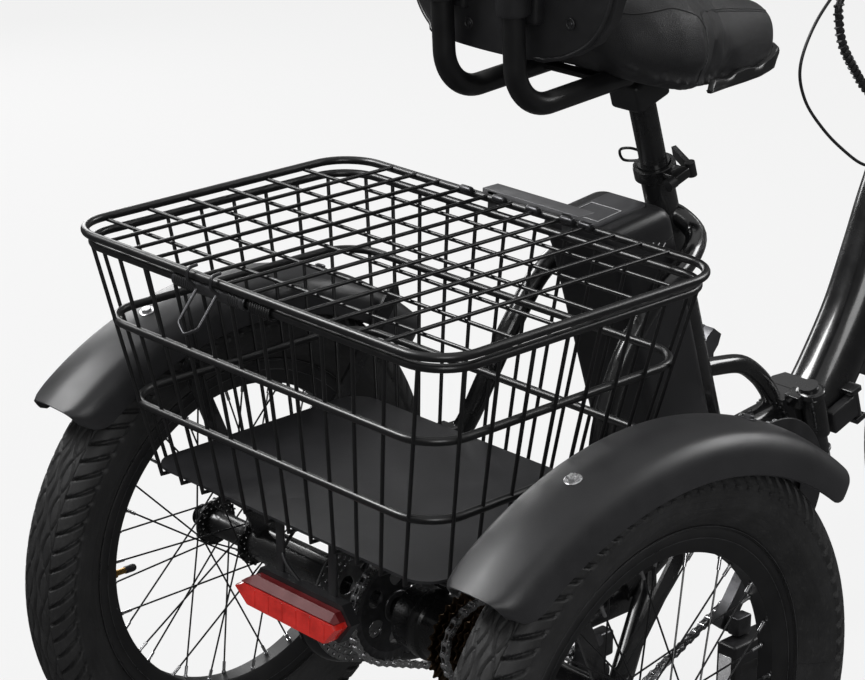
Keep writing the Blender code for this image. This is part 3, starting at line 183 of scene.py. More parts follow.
def ramp(tree, factor, stops):
    """A colour ramp's colour; each stop is (position, grey level or RGB)."""
    node = add_node(tree, "ShaderNodeValToRGB", {"Fac": factor})
    elements = node.color_ramp.elements
    while len(elements) > 1:
        elements.remove(elements[-1])
    elements[0].position = stops[0][0]
    for position, _ in stops[1:]:
        elements.new(position)
    for element, (_, value) in zip(elements, stops):
        element.color = rgba(value)
    return node.outputs["Color"]


def mix_colour(tree, factor, under, over):
    node = add_node(tree, "ShaderNodeMix", {"Factor": factor, "A": under, "B": rgba(over)},
                    data_type="RGBA")
    return node.outputs["Result"]


def relief_height(tree, place, kind, scale):
    """Height for the fine relief: plain noise, leathery grain or brushed lines."""
    if kind == "grain":
        warp = add_node(tree, "ShaderNodeTexNoise", {"Vector": place, "Scale": scale * 0.6})
        warped = add_node(tree, "ShaderNodeMixRGB",
                          {"Fac": 0.0018, "Color1": place, "Color2": warp.outputs["Color"]},
                          blend_type="ADD")
        cells = add_node(tree, "ShaderNodeTexVoronoi",
                         {"Vector": warped.outputs["Color"], "Scale": scale},
                         feature="DISTANCE_TO_EDGE")
        return ramp(tree, cells.outputs["Distance"], [(0.0, 0.0), (0.18, 1.0)])
    if kind == "brushed":
        stretched = add_node(tree, "ShaderNodeMapping",
                             {"Vector": place, "Scale": (40.0, 1.0, 1.0)})
        noise = add_node(tree, "ShaderNodeTexNoise",
                         {"Vector": stretched.outputs["Vector"], "Scale": scale})
    else:
        noise = add_node(tree, "ShaderNodeTexNoise",
                         {"Vector": place, "Scale": scale, "Detail": 4.0})
    return noise.outputs["Fac"]


def add_bump(tree, height, strength, distance):
    bump = add_node(tree, "ShaderNodeBump",
                    {"Height": height, "Strength": strength, "Distance": distance})
    set_inputs(tree, tree.nodes["Principled BSDF"], {"Normal": bump.outputs["Normal"]})


def surface(name, colour, rough=0.4, metal=0.0, coat=0.0, coat_rough=0.08,
            vary=0.25, vary_scale=35.0, rough_vary=0.08,
            relief=0.2, relief_scale=900.0, relief_depth=0.0002, kind="noise",
            dust=0.0, wear=0.0, spec=0.5):
    """Principled surface: slow noise varies colour and roughness, a bump gives fine relief."""
    material = bpy.data.materials.new(name)
    material.use_nodes = True
    tree = material.node_tree
    place = object_place(tree)
    slow = add_node(tree, "ShaderNodeTexNoise",
                    {"Vector": place, "Scale": vary_scale, "Detail": 6.0, "Roughness": 0.62})
    slow = slow.outputs["Fac"]
    colour = np.array(colour)
    tint = ramp(tree, slow, [(0.30, colour * (1 - vary)), (0.70, colour * (1 + vary))])
    if dust > 0:
        specks = add_node(tree, "ShaderNodeTexNoise",
                          {"Vector": place, "Scale": 260.0, "Detail": 8.0})
        amount = ramp(tree, specks.outputs["Fac"], [(0.55, 0.0), (0.80, dust)])
        tint = mix_colour(tree, amount, tint, (0.12, 0.118, 0.112))
    if wear > 0:    # convex edges go lighter
        geometry = add_node(tree, "ShaderNodeNewGeometry", {})
        amount = ramp(tree, geometry.outputs["Pointiness"], [(0.53, 0.0), (0.62, wear)])
        tint = mix_colour(tree, amount, tint, np.clip(colour * 3 + 0.02, 0, 1))
    roughness = ramp(tree, slow, [(0.25, max(0.02, rough - rough_vary)),
                                  (0.75, min(1.0, rough + rough_vary))])
    set_inputs(tree, tree.nodes["Principled BSDF"], {
        "Base Color": tint, "Roughness": roughness, "Metallic": metal, "Coat Weight": coat,
        "Coat Roughness": coat_rough, "Specular IOR Level": spec})
    if relief > 0:
        add_bump(tree, relief_height(tree, place, kind, relief_scale), relief, relief_depth)
    return material


# surface() values of each look; the names are the CAD's material slots or the looks of added details
LOOKS = {
    "frame_paint": dict(colour=(0.0042, 0.0042, 0.0046), rough=0.24, coat=0.8, coat_rough=0.10,
                        relief=0.15, relief_scale=420, wear=0.25),
    "gloss_rod": dict(colour=(0.0040, 0.0040, 0.0044), rough=0.36, coat=0.25, coat_rough=0.22,
                      relief=0.1, relief_scale=600),
    "floor_sheet": dict(colour=(0.017, 0.017, 0.0185), rough=0.36, relief_scale=1400,
                        vary=0.15, vary_scale=14),
    "fender_plastic": dict(colour=(0.0155, 0.0155, 0.0168), relief=0.35, relief_scale=1500,
                           relief_depth=0.0003, vary=0.14, vary_scale=18, dust=0.03),
    "black_plastic": dict(colour=(0.0085, 0.0085, 0.0093), relief=0.3, relief_scale=1600,
                          relief_depth=0.0003),
    "soft_plastic": dict(colour=(0.012, 0.012, 0.013), rough=0.50, relief=0.35,
                         relief_scale=1300, relief_depth=0.0003),
    "rim_black": dict(colour=(0.0065, 0.0065, 0.007), rough=0.42, relief=0.12, wear=0.3),
    "rim_line": dict(colour=(0.16, 0.16, 0.165), rough=0.30, metal=0.9, relief_scale=1200),
    "hub_black": dict(colour=(0.0075, 0.0075, 0.008), rough=0.28, metal=0.4, coat=0.4,
                      relief=0.1, relief_scale=700, wear=0.3),
    "tyre_rubber": dict(name="m_tyre_plain", colour=(0.018, 0.018, 0.0185), rough=0.62,
                        relief=0.5, relief_depth=0.0004, vary=0.3, vary_scale=22, dust=0.10),
    "steel": dict(colour=(0.74, 0.74, 0.75), rough=0.28, metal=1.0, relief=0.3,
                  relief_scale=800, vary=0.3, vary_scale=160),
    "spoke": dict(colour=(0.012, 0.012, 0.013), rough=0.30, metal=0.5, coat=0.5, relief=0.1,
                  relief_depth=0.0001),
    "nipple": dict(colour=(0.62, 0.62, 0.63), rough=0.25, metal=1.0, relief_scale=1200,
                   relief_depth=0.0001),
    "brass": dict(colour=(0.55, 0.33, 0.10), rough=0.30, metal=1.0, relief_scale=1200),
    "dark_steel": dict(colour=(0.055, 0.055, 0.058), rough=0.34, metal=0.85, relief=0.3,
                       relief_scale=700, vary=0.3, vary_scale=90, wear=0.3),
    "rotor_steel": dict(colour=(0.34, 0.34, 0.345), rough=0.33, metal=0.95, relief=0.4,
                        relief_scale=500, kind="brushed", vary=0.3, vary_scale=60),
    "bronze_steel": dict(colour=(0.13, 0.088, 0.055), rough=0.32, metal=1.0, relief=0.3,
                         relief_scale=700, vary=0.35, vary_scale=120),
    "leather": dict(colour=(0.0105, 0.0105, 0.0115), rough=0.46, relief=0.6, relief_scale=620,
                    relief_depth=0.00035, kind="grain", vary=0.22, vary_scale=28, spec=0.45),
    "thread": dict(colour=(0.040, 0.040, 0.043), rough=0.62, relief=0.6, relief_scale=2400,
                   relief_depth=0.0003),
    "grip_rubber": dict(colour=(0.018, 0.018, 0.018), rough=0.70, relief=0.5,
                        relief_scale=1400, relief_depth=0.0003, dust=0.05),
    "battery_shell": dict(colour=(0.0095, 0.0095, 0.0105), relief=0.35, relief_scale=1700,
                          relief_depth=0.0003, vary=0.18, vary_scale=20),
    "label": dict(colour=(0.050, 0.050, 0.053), rough=0.32, relief=0.1, relief_depth=0.0001),
    "print": dict(colour=(0.45, 0.45, 0.46), relief=0.1, relief_depth=0.0001),
    "display_gloss": dict(colour=(0.008, 0.008, 0.010), rough=0.08, coat=1.0, relief=0.04,
                          relief_scale=300, relief_depth=0.0001, vary=0.1),
    "cable": dict(colour=(0.012, 0.012, 0.013), rough=0.38, relief=0.3, relief_scale=1300),
    "grey_sheet": dict(colour=(0.15, 0.15, 0.155), rough=0.34, metal=0.35, vary=0.15),
    "white_reflector": dict(colour=(0.55, 0.55, 0.56), rough=0.12, coat=0.8, relief=0.6,
                            relief_scale=300, relief_depth=0.0008, kind="grain"),
    "amber_reflector": dict(colour=(0.60, 0.20, 0.02), rough=0.14, coat=0.8, relief=0.6,
                            relief_scale=300, relief_depth=0.0008, kind="grain"),
    "housing_dark": dict(colour=(0.006, 0.006, 0.007), rough=0.30),
}


def red_lens_material():
    """Clear red plastic over a regular reflector grid."""
    material = surface("m_red_lens", (0.34, 0.012, 0.008), rough=0.20, coat=1.0,
                       coat_rough=0.04, relief=0.0, vary=0.35, vary_scale=45)
    tree = material.node_tree
    grid = add_node(tree, "ShaderNodeTexVoronoi",
                    {"Vector": object_place(tree), "Scale": 240.0, "Randomness": 0.0})
    add_bump(tree, grid.outputs["Distance"], strength=0.35, distance=0.0008)
    set_inputs(tree, tree.nodes["Principled BSDF"],
               {"Emission Color": (0.75, 0.02, 0.015, 1), "Emission Strength": 0.10})
    return material


def tyre_material():
    """Rubber with fine sipes and sidewall lines that follow the tyre's UVs, in metres."""
    sipe_pitch, sipe_slant, sipe_reach = 0.0030, 1.6, 0.031
    line_pitch, line_start, wave_length, wave_height = 0.0075, 0.040, 0.222, 0.004
    material = surface("m_tyre", (0.0115, 0.0115, 0.012), rough=0.58, relief=0.0,
                       vary=0.28, vary_scale=24, dust=0.10)
    tree = material.node_tree

    def calc(operation, *operands):
        node = add_node(tree, "ShaderNodeMath", dict(enumerate(operands)), operation=operation)
        return node.outputs[0]

    def sine(value, pitch):
        return calc("SINE", calc("MULTIPLY", value, 2 * math.pi / pitch))

    uv = add_node(tree, "ShaderNodeUVMap", {}, uv_map="round")
    split = add_node(tree, "ShaderNodeSeparateXYZ", {"Vector": uv.outputs["UV"]})
    along = split.outputs["X"]
    across = calc("ABSOLUTE", split.outputs["Y"])
    sipes = sine(calc("ADD", along, calc("MULTIPLY", across, sipe_slant)), sipe_pitch)
    in_tread = calc("LESS_THAN", across, sipe_reach)
    sipes = calc("MULTIPLY", calc("LESS_THAN", sipes, -0.55), in_tread)
    on_side = calc("GREATER_THAN", across, line_start)
    wave = calc("MULTIPLY", sine(along, wave_length), wave_height)
    lines = sine(calc("ADD", across, wave), line_pitch)
    lines = calc("MULTIPLY", calc("GREATER_THAN", lines, 0.82), on_side)
    noise = add_node(tree, "ShaderNodeTexNoise",
                     {"Vector": object_place(tree), "Scale": 1100.0})
    height = calc("SUBTRACT", calc("MULTIPLY", lines, 0.8), sipes)
    height = calc("ADD", height, calc("MULTIPLY", noise.outputs["Fac"], 0.30))
    add_bump(tree, height, strength=0.75, distance=0.0007)
    return material


MATS = {slot: surface(**{"name": "m_" + slot, **look}) for slot, look in LOOKS.items()}
MATS["red_lens"] = red_lens_material()
# painted shade: the tail light's top gets a duller, darker red than the lens, so that it reads
# darker than the lit front
MATS["red_top_painted_shade"] = surface("m_red_top_painted_shade", (0.085, 0.004, 0.005), rough=0.36, relief=0.1,
                          relief_scale=700, vary=0.2)
MATS["lamp_lens"] = surface("m_lamp_lens", (0.62, 0.64, 0.68), rough=0.08, metal=0.3, coat=1.0,
                            relief=0.5, relief_scale=220, relief_depth=0.001, kind="grain")
MATS["tyre"] = tyre_material()


# ================================================================ shape helpers
def ring_frames(points, closed, up):
    """A tangent, a normal and a binormal at each point, carried along without twist."""
    count = len(points)
    tangents = []
    for i, point in enumerate(points):
        before = points[(i - 1) % count] if closed or i > 0 else point
        after = points[(i + 1) % count] if closed or i < count - 1 else point
        if before != point and after != point:
            tangent = (after - point).normalized() + (point - before).normalized()
        else:
            tangent = after - before
        tangents.append(tangent.normalized())
    normal = (up - tangents[0] * up.dot(tangents[0])).normalized()
    frames = []
    for i, tangent in enumerate(tangents):
        if i:
            normal = tangents[i - 1].rotation_difference(tangent) @ normal
        normal = (normal - tangent * normal.dot(tangent)).normalized()
        frames.append((tangent, normal, tangent.cross(normal)))
    return frames


def sweep(points, profile, closed=False, up=Z):
    """The profile carried along points: (offset along the normal, offset along the binormal)."""
    points = [Vector(p) for p in points]
    count = len(points)
    bm = bmesh.new()
    rings = []
    for i, (tangent, normal, binormal) in enumerate(ring_frames(points, closed, up)):
        bend = None
        if closed or 0 < i < count - 1:    # widen the ring across a bend, as a mitre does
            before = (points[i] - points[i - 1]).normalized()
            turn = (points[(i + 1) % count] - points[i]).normalized() - before
            stretch = 1.0 / max(0.75, before.dot(tangent))
            if turn.length > 1e-4:
                bend = turn.normalized()
        ring = []
        for along_normal, along_binormal in profile:
            offset = normal * along_normal + binormal * along_binormal
            if bend is not None:
                offset = offset + bend * offset.dot(bend) * (stretch - 1.0)
            ring.append(bm.verts.new(points[i] + offset))
        rings.append(ring)
    for i in range(count if closed else count - 1):
        join_rings(bm, rings[i], rings[(i + 1) % count])
    if not closed:
        bm.faces.new(rings[0][::-1])
        bm.faces.new(rings[-1])
    bmesh.ops.recalc_face_normals(bm, faces=bm.faces)
    return bm


def join_rings(bm, ring, following):
    """Quads between two closed rings of vertices."""
    count = len(ring)
    for k in range(count):
        j = (k + 1) % count
        bm.faces.new([ring[k], ring[j], following[j], following[k]])


def circle(radius, sides=10, turn=0.0):
    angles = [2 * math.pi * (k + turn) / sides for k in range(sides)]
    return [(radius * math.cos(angle), radius * math.sin(angle)) for angle in angles]


def fillet(points, radius, steps):
    """The polyline with each inner corner replaced by an arc."""
    points = [Vector(p) for p in points]
    out = [points[0]]
    for i in range(1, len(points) - 1):
        corner = points[i]
        back = points[i - 1] - corner
        onward = points[i + 1] - corner
        angle = back.angle(onward)
        if math.pi - angle < 0.02:
            out.append(corner)
            continue
        cut = min(radius / math.tan(angle / 2), 0.48 * back.length, 0.48 * onward.length)
        arc_radius = cut * math.tan(angle / 2)
        back.normalize()
        onward.normalize()
        centre = corner + (back + onward).normalized() * (arc_radius / math.sin(angle / 2))
        start = corner + back * cut - centre
        end = corner + onward * cut - centre
        axis = start.cross(end).normalized()
        turn = start.angle(end)
        for k in range(steps + 1):
            out.append(centre + Matrix.Rotation(turn * k / steps, 3, axis) @ start)
    out.append(points[-1])
    return out


def smooth_path(points, steps):
    """A Catmull-Rom curve through the points, with steps per span."""
    points = [Vector(p) for p in points]
    points = [points[0] * 2 - points[1]] + points + [points[-1] * 2 - points[-2]]
    out = []
    for i in range(1, len(points) - 2):
        p0, p1, p2, p3 = points[i - 1:i + 3]
        for k in range(steps):
            t = k / steps
            out.append(0.5 * ((2 * p1) + (p2 - p0) * t + (2 * p0 - 5 * p1 + 4 * p2 - p3) * t * t
                              + (3 * p1 - p0 - 3 * p2 + p3) * t ** 3))
    out.append(points[-2])
    return out


def tube(points, radius, sides, bend=0.0, arc=10, up=X):
    """A round tube along the points, its corners filleted to radius bend in arc steps."""
    path = fillet(points, bend, arc) if bend else points
    return sweep(path, circle(radius, sides, 0.5), up=up)


def axis_matrix(origin, direction):
    """Local +X lies along direction, local +Z as near up as it can be."""
    along = Vector(direction).normalized()
    up = Y if abs(along.dot(Z)) > 0.99 else Z
    side = up.cross(along).normalized()
    top = along.cross(side)
    return Matrix(((along.x, side.x, top.x, origin[0]), (along.y, side.y, top.y, origin[1]),
                   (along.z, side.z, top.z, origin[2]), (0, 0, 0, 1)))


def softened(profile, looped, cut=0.0007):
    """The turned profile with its corners eased, so that edges catch the light."""
    out, count = [], len(profile)
    for i, entry in enumerate(profile):
        if not looped and i in (0, count - 1):
            out.append(entry)
            continue
        corner = Vector(entry)
        back = Vector(profile[i - 1]) - corner
        onward = Vector(profile[(i + 1) % count]) - corner
        if back.length < 1e-6 or onward.length < 1e-6 or corner.y < 1e-6:
            out.append(tuple(corner))
            continue
        for way in (back, onward):
            out.append(tuple(corner + way.normalized() * min(cut, 0.3 * way.length)))
    return out


def lathe(profile, origin, direction=X, looped=False):
    """Turns (distance along the axis, radius) round the axis; looped closes it into a ring."""
    widest = max(radius for _, radius in profile)
    sides = 10 if widest < 0.003 else 20 if widest < 0.010 else 40 if widest < 0.03 else 96
    matrix = axis_matrix(origin, direction)
    bm = bmesh.new()
    rows = []
    for along, radius in softened(profile, looped):
        if radius < 1e-9:
            rows.append([bm.verts.new(matrix @ Vector((along, 0, 0)))])
            continue
        angles = [2 * math.pi * (k + 0.5) / sides for k in range(sides)]
        rows.append([bm.verts.new(matrix @ Vector((along, radius * math.sin(angle),
                                                   radius * math.cos(angle))))
                     for angle in angles])
    for i in range(len(rows) if looped else len(rows) - 1):
        row, following = rows[i], rows[(i + 1) % len(rows)]
        if len(row) > 1 and len(following) > 1:
            join_rings(bm, row, following)
            continue
        for k in range(sides):
            j = (k + 1) % sides
            if len(row) == 1:
                bm.faces.new([row[0], following[j], following[k]])
            else:
                bm.faces.new([row[k], row[j], following[0]])
    if not looped:
        if len(rows[0]) > 1:
            bm.faces.new(rows[0][::-1])
        if len(rows[-1]) > 1:
            bm.faces.new(rows[-1])
    bmesh.ops.recalc_face_normals(bm, faces=bm.faces)
    return bm


def rod(start, end, radius):
    start, end = Vector(start), Vector(end)
    return lathe([(0, radius), ((end - start).length, radius)], start, end - start)


def cross_rod(centre, half, radius):
    """A rod along X that reaches half to each side of centre."""
    return rod(centre - X * half, centre + X * half, radius)


def block(low, high, origin=(0, 0, 0), axes=(X, Y, Z), bevel=0.0012):
    """A bevelled box from low to high along the axes at origin."""
    bm = bmesh.new()
    bmesh.ops.create_cube(bm, size=1.0)
    low, high = Vector(low), Vector(high)
    middle, size = (low + high) / 2, high - low
    origin = Vector(origin)
    for vert in bm.verts:
        place = Vector((vert.co.x * size.x, vert.co.y * size.y, vert.co.z * size.z)) + middle
        vert.co = origin + axes[0] * place.x + axes[1] * place.y + axes[2] * place.z
    if axes[0].cross(axes[1]).dot(axes[2]) < 0:
        bmesh.ops.reverse_faces(bm, faces=bm.faces)
    bevel = min(bevel, 0.3 * min(abs(length) for length in size))
    bmesh.ops.bevel(bm, geom=list(bm.edges), offset=bevel, segments=3, affect="EDGES",
                    profile=0.5)
    bmesh.ops.recalc_face_normals(bm, faces=bm.faces)
    return bm


def loft(sections):
    """A closed solid through rings of equal length, capped at both ends."""
    bm = bmesh.new()
    rings = [[bm.verts.new(p) for p in section] for section in sections]
    for ring, following in zip(rings, rings[1:]):
        join_rings(bm, ring, following)
    bm.faces.new(rings[0][::-1])
    bm.faces.new(rings[-1])
    bmesh.ops.recalc_face_normals(bm, faces=bm.faces)
    return bm


def flat_bar(start, end, x0, x1, half):
    """A flat bar between x0 and x1 with blunt pointed ends, of the given half width."""
    start, end = Vector(start), Vector(end)
    along = (end - start).normalized()
    wide = along.cross(X).normalized()
    corners = [start + wide * half, start - along * half * 0.9, start - wide * half,
               end - wide * half, end + along * half * 0.9, end + wide * half]
    return loft([[Vector((x, corner.y, corner.z)) for corner in corners] for x in (x0, x1)])


# ================================================================ making objects
TO_ORIGIN = Matrix.Translation((0, -ORIGIN_Y, 0))


def face_outwards(bm):
    if bm.calc_volume(signed=True) < 0:
        bmesh.ops.reverse_faces(bm, faces=bm.faces)


def smooth_shading(mesh, sharp):
    mesh.shade_smooth()
    mesh.set_sharp_from_angle(angle=math.radians(sharp))


def link_mesh(name, mesh):
    obj = bpy.data.objects.new(name, mesh)
    bpy.context.scene.collection.objects.link(obj)
    return obj


def add_piece(name, mesh, look, body, sharp):
    """An object that rides on a body; edges over sharp degrees stay sharp."""
    mesh.transform(TO_ORIGIN)
    obj = link_mesh(name, mesh)
    mesh.materials.append(MATS[look])
    smooth_shading(mesh, sharp)
    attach(obj, body)
    return obj


def show(name, shapes, look, body, sharp=38.0):
    """One piece made of several closed shapes."""
    mesh = bpy.data.meshes.new(name)
    whole = bmesh.new()
    for bm in shapes:
        face_outwards(bm)
        single = bpy.data.meshes.new("tmp")
        bm.to_mesh(single)
        bm.free()
        whole.from_mesh(single)
        bpy.data.meshes.remove(single)
    whole.to_mesh(mesh)
    whole.free()
    return add_piece(name, mesh, look, body, sharp)


def stand_for(obj, node):
    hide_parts(node)
    return obj


def part(node, slot, shapes, body=None, look=None, sharp=38.0):
    """A piece that stands for the CAD node; its look is the slot's unless another is given."""
    obj = show("v_" + node, shapes, look or slot, body or BODY_OF[node], sharp)
    return stand_for(obj, node)


def spun_part(node, look, points, winding, sharp, uv=None):
    """A ring mesh from points[angle, profile]; winding orders the corners of each face."""
    rows, columns = points.shape[:2]
    index = np.arange(rows * columns).reshape(rows, columns)
    following = np.roll(index, -1, 0)
    corners = np.stack([index, following, np.roll(following, -1, 1), np.roll(index, -1, 1)], -1)
    faces = corners.reshape(-1, 4)[:, winding].tolist()
    mesh = bpy.data.meshes.new("v_" + node)
    mesh.from_pydata([tuple(p) for p in points.reshape(-1, 3)], [], faces)
    if uv is not None:
        layer = mesh.uv_layers.new(name="round")
        loops = np.empty(len(mesh.loops), np.int64)
        mesh.loops.foreach_get("vertex_index", loops)
        layer.data.foreach_set("uv", uv.reshape(-1, 2)[loops].astype(np.float32).ravel())
    obj = add_piece("v_" + node, mesh, look, BODY_OF[node], sharp)
    stand_for(obj, node)


def evaluated_mesh(obj):
    graph = bpy.context.evaluated_depsgraph_get()
    return bpy.data.meshes.new_from_object(obj.evaluated_get(graph))


def cut_part(node, slot, shape, cutters):
    """A part with the cutters taken away by one exact Boolean."""
    obj = part(node, slot, [shape])
    group = bpy.data.collections.new("operands")
    operands = []
    for i, bm in enumerate(cutters):
        face_outwards(bm)
        mesh = bpy.data.meshes.new("cut_%s_%d" % (node, i))
        bm.transform(TO_ORIGIN)
        bm.to_mesh(mesh)
        bm.free()
        operands.append(link_mesh(mesh.name, mesh))
        group.objects.link(operands[-1])
    boolean = obj.modifiers.new("difference", "BOOLEAN")
    boolean.operation = "DIFFERENCE"
    boolean.operand_type = "COLLECTION"
    boolean.collection = group
    boolean.solver = "EXACT"
    result = evaluated_mesh(obj)
    if not result.polygons:    # guards against an empty result from the exact solver
        boolean.solver = "MANIFOLD"
        result = evaluated_mesh(obj)
    obj.modifiers.clear()
    obj.data = result
    for operand in operands:
        bpy.data.objects.remove(operand)
    bpy.data.collections.remove(group)
    obj.data.materials.clear()
    obj.data.materials.append(MATS[slot])
    smooth_shading(obj.data, 38)


# ================================================================ motor, housing and crank
part("drive_motor", "hub_black", [lathe(
    [(-0.0365, 0.0), (-0.0365, 0.038), (-0.030, 0.045), (0.040, 0.045), (0.046, 0.038),
     (0.046, 0.0)], MOTOR)])
part("axle_center_housing", "hub_black", [lathe(
    [(-0.024, SHAFT_GAP), (-0.024, 0.022), (-0.018, 0.022), (-0.018, 0.036), (0.006, 0.036),
     (0.009, 0.040), (0.022, 0.040), (0.025, 0.036), (0.048, 0.036), (0.048, 0.024),
     (0.056, 0.024), (0.056, SHAFT_GAP)], AXLE, looped=True)])


def crank_arm(side):
    """A tapered arm and its pedal spindle."""
    root = CRANK + X * (side * 0.098)
    along = CRANK_DIR * side
    wide = along.cross(X)
    stations = ((-0.018, 0.012), (0.0, 0.017), (0.03, 0.013), (CRANK_LEN - 0.02, 0.011),
                (CRANK_LEN, 0.013), (CRANK_LEN + 0.013, 0.009))   # (distance, half width)
    corners = ((1, 1), (-1, 1), (-1, -1), (1, -1))
    arm = loft([[root + X * (0.007 * a) + wide * (half * b) + along * distance
                 for a, b in corners] for distance, half in stations])
    tip = CRANK + along * CRANK_LEN
    return [arm, rod(tip + X * (side * 0.100), tip + X * (side * 0.1272), 0.006)]


ring_plate = lathe([(0.0730, 0.0), (0.0730, RING_R - 0.0056), (0.0770, RING_R - 0.0056),
                    (0.0770, 0.045), (0.0805, 0.045), (0.0805, 0.0)], CRANK)
part("crankset", "dark_steel",
     [cross_rod(CRANK, 0.100, 0.0085), ring_plate] + crank_arm(1) + crank_arm(-1))


def pedal(name, side):
    """A folded pedal: a small block on the spindle, and a platform beside the crank."""
    tip = CRANK + CRANK_DIR * side * CRANK_LEN
    inner, outer = (-0.0080, 0.0075) if side > 0 else (-0.0075, 0.0080)
    part("pedal_block_" + name, "dark_steel",
         [block((inner, -0.0120, -0.0110), (outer, 0.0120, 0.0120),
                Vector((side * 0.1205, tip.y, tip.z)), bevel=0.002)])
    plate = Vector((side * PEDAL_X, tip.y + side * 0.0120, tip.z - 0.0620))
    windows = [block((-0.03, -0.0320, 0.018 * k - 0.0065), (0.03, 0.0320, 0.018 * k + 0.0065),
                     plate) for k in (-1, 1)]
    cut_part("pedal_" + name, "black_plastic",
             block((-0.0140, -0.0440, -0.0490), (0.0140, 0.0440, 0.0490), plate, bevel=0.004),
             windows)


pedal("right", 1)
pedal("left", -1)

# ---------------------------------------------------------------- derailleur and brake caliper
body_at = Vector((0.101, 0.158, 0.233))
part("derailleur_body", "dark_steel",
     [block((-0.009, -0.026, -0.012), (0.009, 0.020, 0.018), body_at, bevel=0.003),
      rod(body_at + Vector((-0.0135, 0.0, -0.028)), body_at + Vector((0.011, 0.0, -0.028)),
          0.012),
      block((-0.006, -0.010, -0.03), (0.006, 0.010, 0.01), body_at),
      rod(body_at + Vector((0.0, -0.024, 0.010)), body_at + Vector((0.030, -0.030, 0.030)),
          0.007)])
cage = [flat_bar(UPPER_PULLEY, LOWER_PULLEY, PEDAL_CHAIN_X + inner, PEDAL_CHAIN_X + outer, 0.010)
        for inner, outer in ((0.0065, 0.0085), (-0.0085, -0.0065))]
for centre, radius in ((UPPER_PULLEY, 0.0112), (LOWER_PULLEY, 0.0142)):
    cage += [cross_rod(centre, 0.0035, radius), cross_rod(centre, 0.0080, 0.0035)]
part("derailleur_cage", "dark_steel", cage)

ROTOR_X = -0.095
caliper = Vector((ROTOR_X, 0.090, 0.300))
cut_part("brake_caliper", "hub_black",
         block((-0.022, -0.020, -0.024), (0.022, 0.024, 0.026), caliper, bevel=0.005),
         [block((-0.0025, -0.09, -0.09), (0.0025, 0.004, 0.09), caliper)])


# ================================================================ rear frame
FOLD_ORIGIN = at_fold(0, 0)


def hinge_half(sign):
    """One half of the fold hinge's body, behind (-1) or ahead (+1) of its parting plane."""
    outline = [(-0.0243, 0.0004), (-0.0243, 0.0110), (-0.0150, 0.0243), (0.0190, 0.0243),
               (0.0283, 0.0150), (0.0283, 0.0004)]   # (x, distance from the plane)
    return loft([[at_fold(sign * away, up, x) for x, away in outline]
                 for up in (-0.0413, 0.0363)])


def hinge_rod(low, high, radius):
    return rod(at_fold(0, low, HINGE.x), at_fold(0, high, HINGE.x), radius)


def fold_block(low, high, bevel=0.0012):
    return block(low, high, FOLD_ORIGIN, FOLD_AXES, bevel)


rear = [
    rod(at_seat(-0.006), at_seat(0.4470), 0.0182),    # seat tube
    cross_rod(CRANK, 0.036, 0.0260),                  # crank axle's shell
    # lower tube to the fold hinge, and the small curved brace above it
    tube([(0, 0.462, 0.340), (0, 0.505, 0.3600), (0, 0.588, 0.3685)], 0.0190, 40, 0.08),
    tube(smooth_path([(0, 0.430, 0.458), (0, 0.4600, 0.4549), (0, 0.5051, 0.4459),
                      (0, 0.5377, 0.4238), (0, 0.5599, 0.3990), (0, 0.5720, 0.3780)], 6),
         0.0112, 32),
    # spine behind the seat tube
    tube([(0, 0.462, 0.304), (0, 0.330, 0.236), (0, 0.300, 0.226)], 0.0230, 40, 0.1),
    # hinge plate with its two outer knuckles and the pin
    hinge_half(-1),
    hinge_rod(-0.047, -0.0190, 0.0120),
    hinge_rod(0.0270, 0.0510, 0.0120),
    hinge_rod(-0.025, 0.0350, 0.0050),
    fold_block((0.020, -0.0210, -0.045), (0.042, -0.0030, -0.0195)),
    fold_block((0.020, -0.0210, 0.0275), (0.042, -0.0030, 0.0440)),
    # cross tube above the axle, the block under it, and the block behind the spine
    rod((-0.140, 0.012, 0.378), (0.140, 0.012, 0.378), 0.0125),
    block((0.006, 0.004, 0.3230), (0.030, 0.020, 0.372)),
    block((-0.016, 0.178, 0.196), (0.016, 0.330, 0.232)),
]
# (x on the right side, y, z) of the stay, from the seat tube round the battery to the axle tube
STAY = [(0.002, 0.352, 0.664), (0.014, 0.366, 0.661), (0.040, 0.368, 0.643),
        (0.070, 0.318, 0.630), (0.080, 0.256, 0.604), (0.082, 0.208, 0.550),
        (0.088, 0.174, 0.490), (0.101, 0.148, 0.430), (0.118, 0.104, 0.384),
        (0.134, 0.036, 0.318), (0.138, 0.004, 0.288)]
# the tube that loops under the axle to the main spine, likewise
LOOP_TUBE = [(0.196, 0.0, 0.276), (0.196, 0.004, 0.172), (0.150, 0.120, 0.152),
             (0.030, 0.318, 0.218), (0.004, 0.345, 0.240)]
STRUT_TOPS = ((-0.105, 0.526), (0.196, 0.540))   # (y, z) where the mudguard struts end
for side in (-1, 1):
    rear += [
        tube(smooth_path([(side * x, y, z) for x, y, z in STAY], 6), 0.0120, 32),
        rod((side * 0.116, 0, WHEEL_R), (side * 0.272, 0, WHEEL_R), 0.0205),    # axle tube
        tube([(side * x, y, z) for x, y, z in LOOP_TUBE], 0.0135, 32, 0.05, 12),
        # upright and rail that carry the basket floor
        tube([(side * 0.130, 0.008, 0.300), (side * 0.112, 0.008, 0.434)], 0.0100, 32, up=Y),
        block((side * 0.110 - 0.011, -0.172, 0.4320), (side * 0.110 + 0.011, 0.140, 0.4385)),
        block((side * 0.104 - 0.010, 0.128, 0.424), (side * 0.104 + 0.010, 0.152, 0.438)),
        # two flat arms to the mudguard
        flat_bar((0, 0.0, 0.286), (0, *STRUT_TOPS[0]), side * 0.2655, side * 0.2615, 0.010),
        flat_bar((0, 0.0, 0.286), (0, *STRUT_TOPS[1]), side * 0.2650, side * 0.2610, 0.010),
    ]
part("rear_frame", "frame_paint", rear)

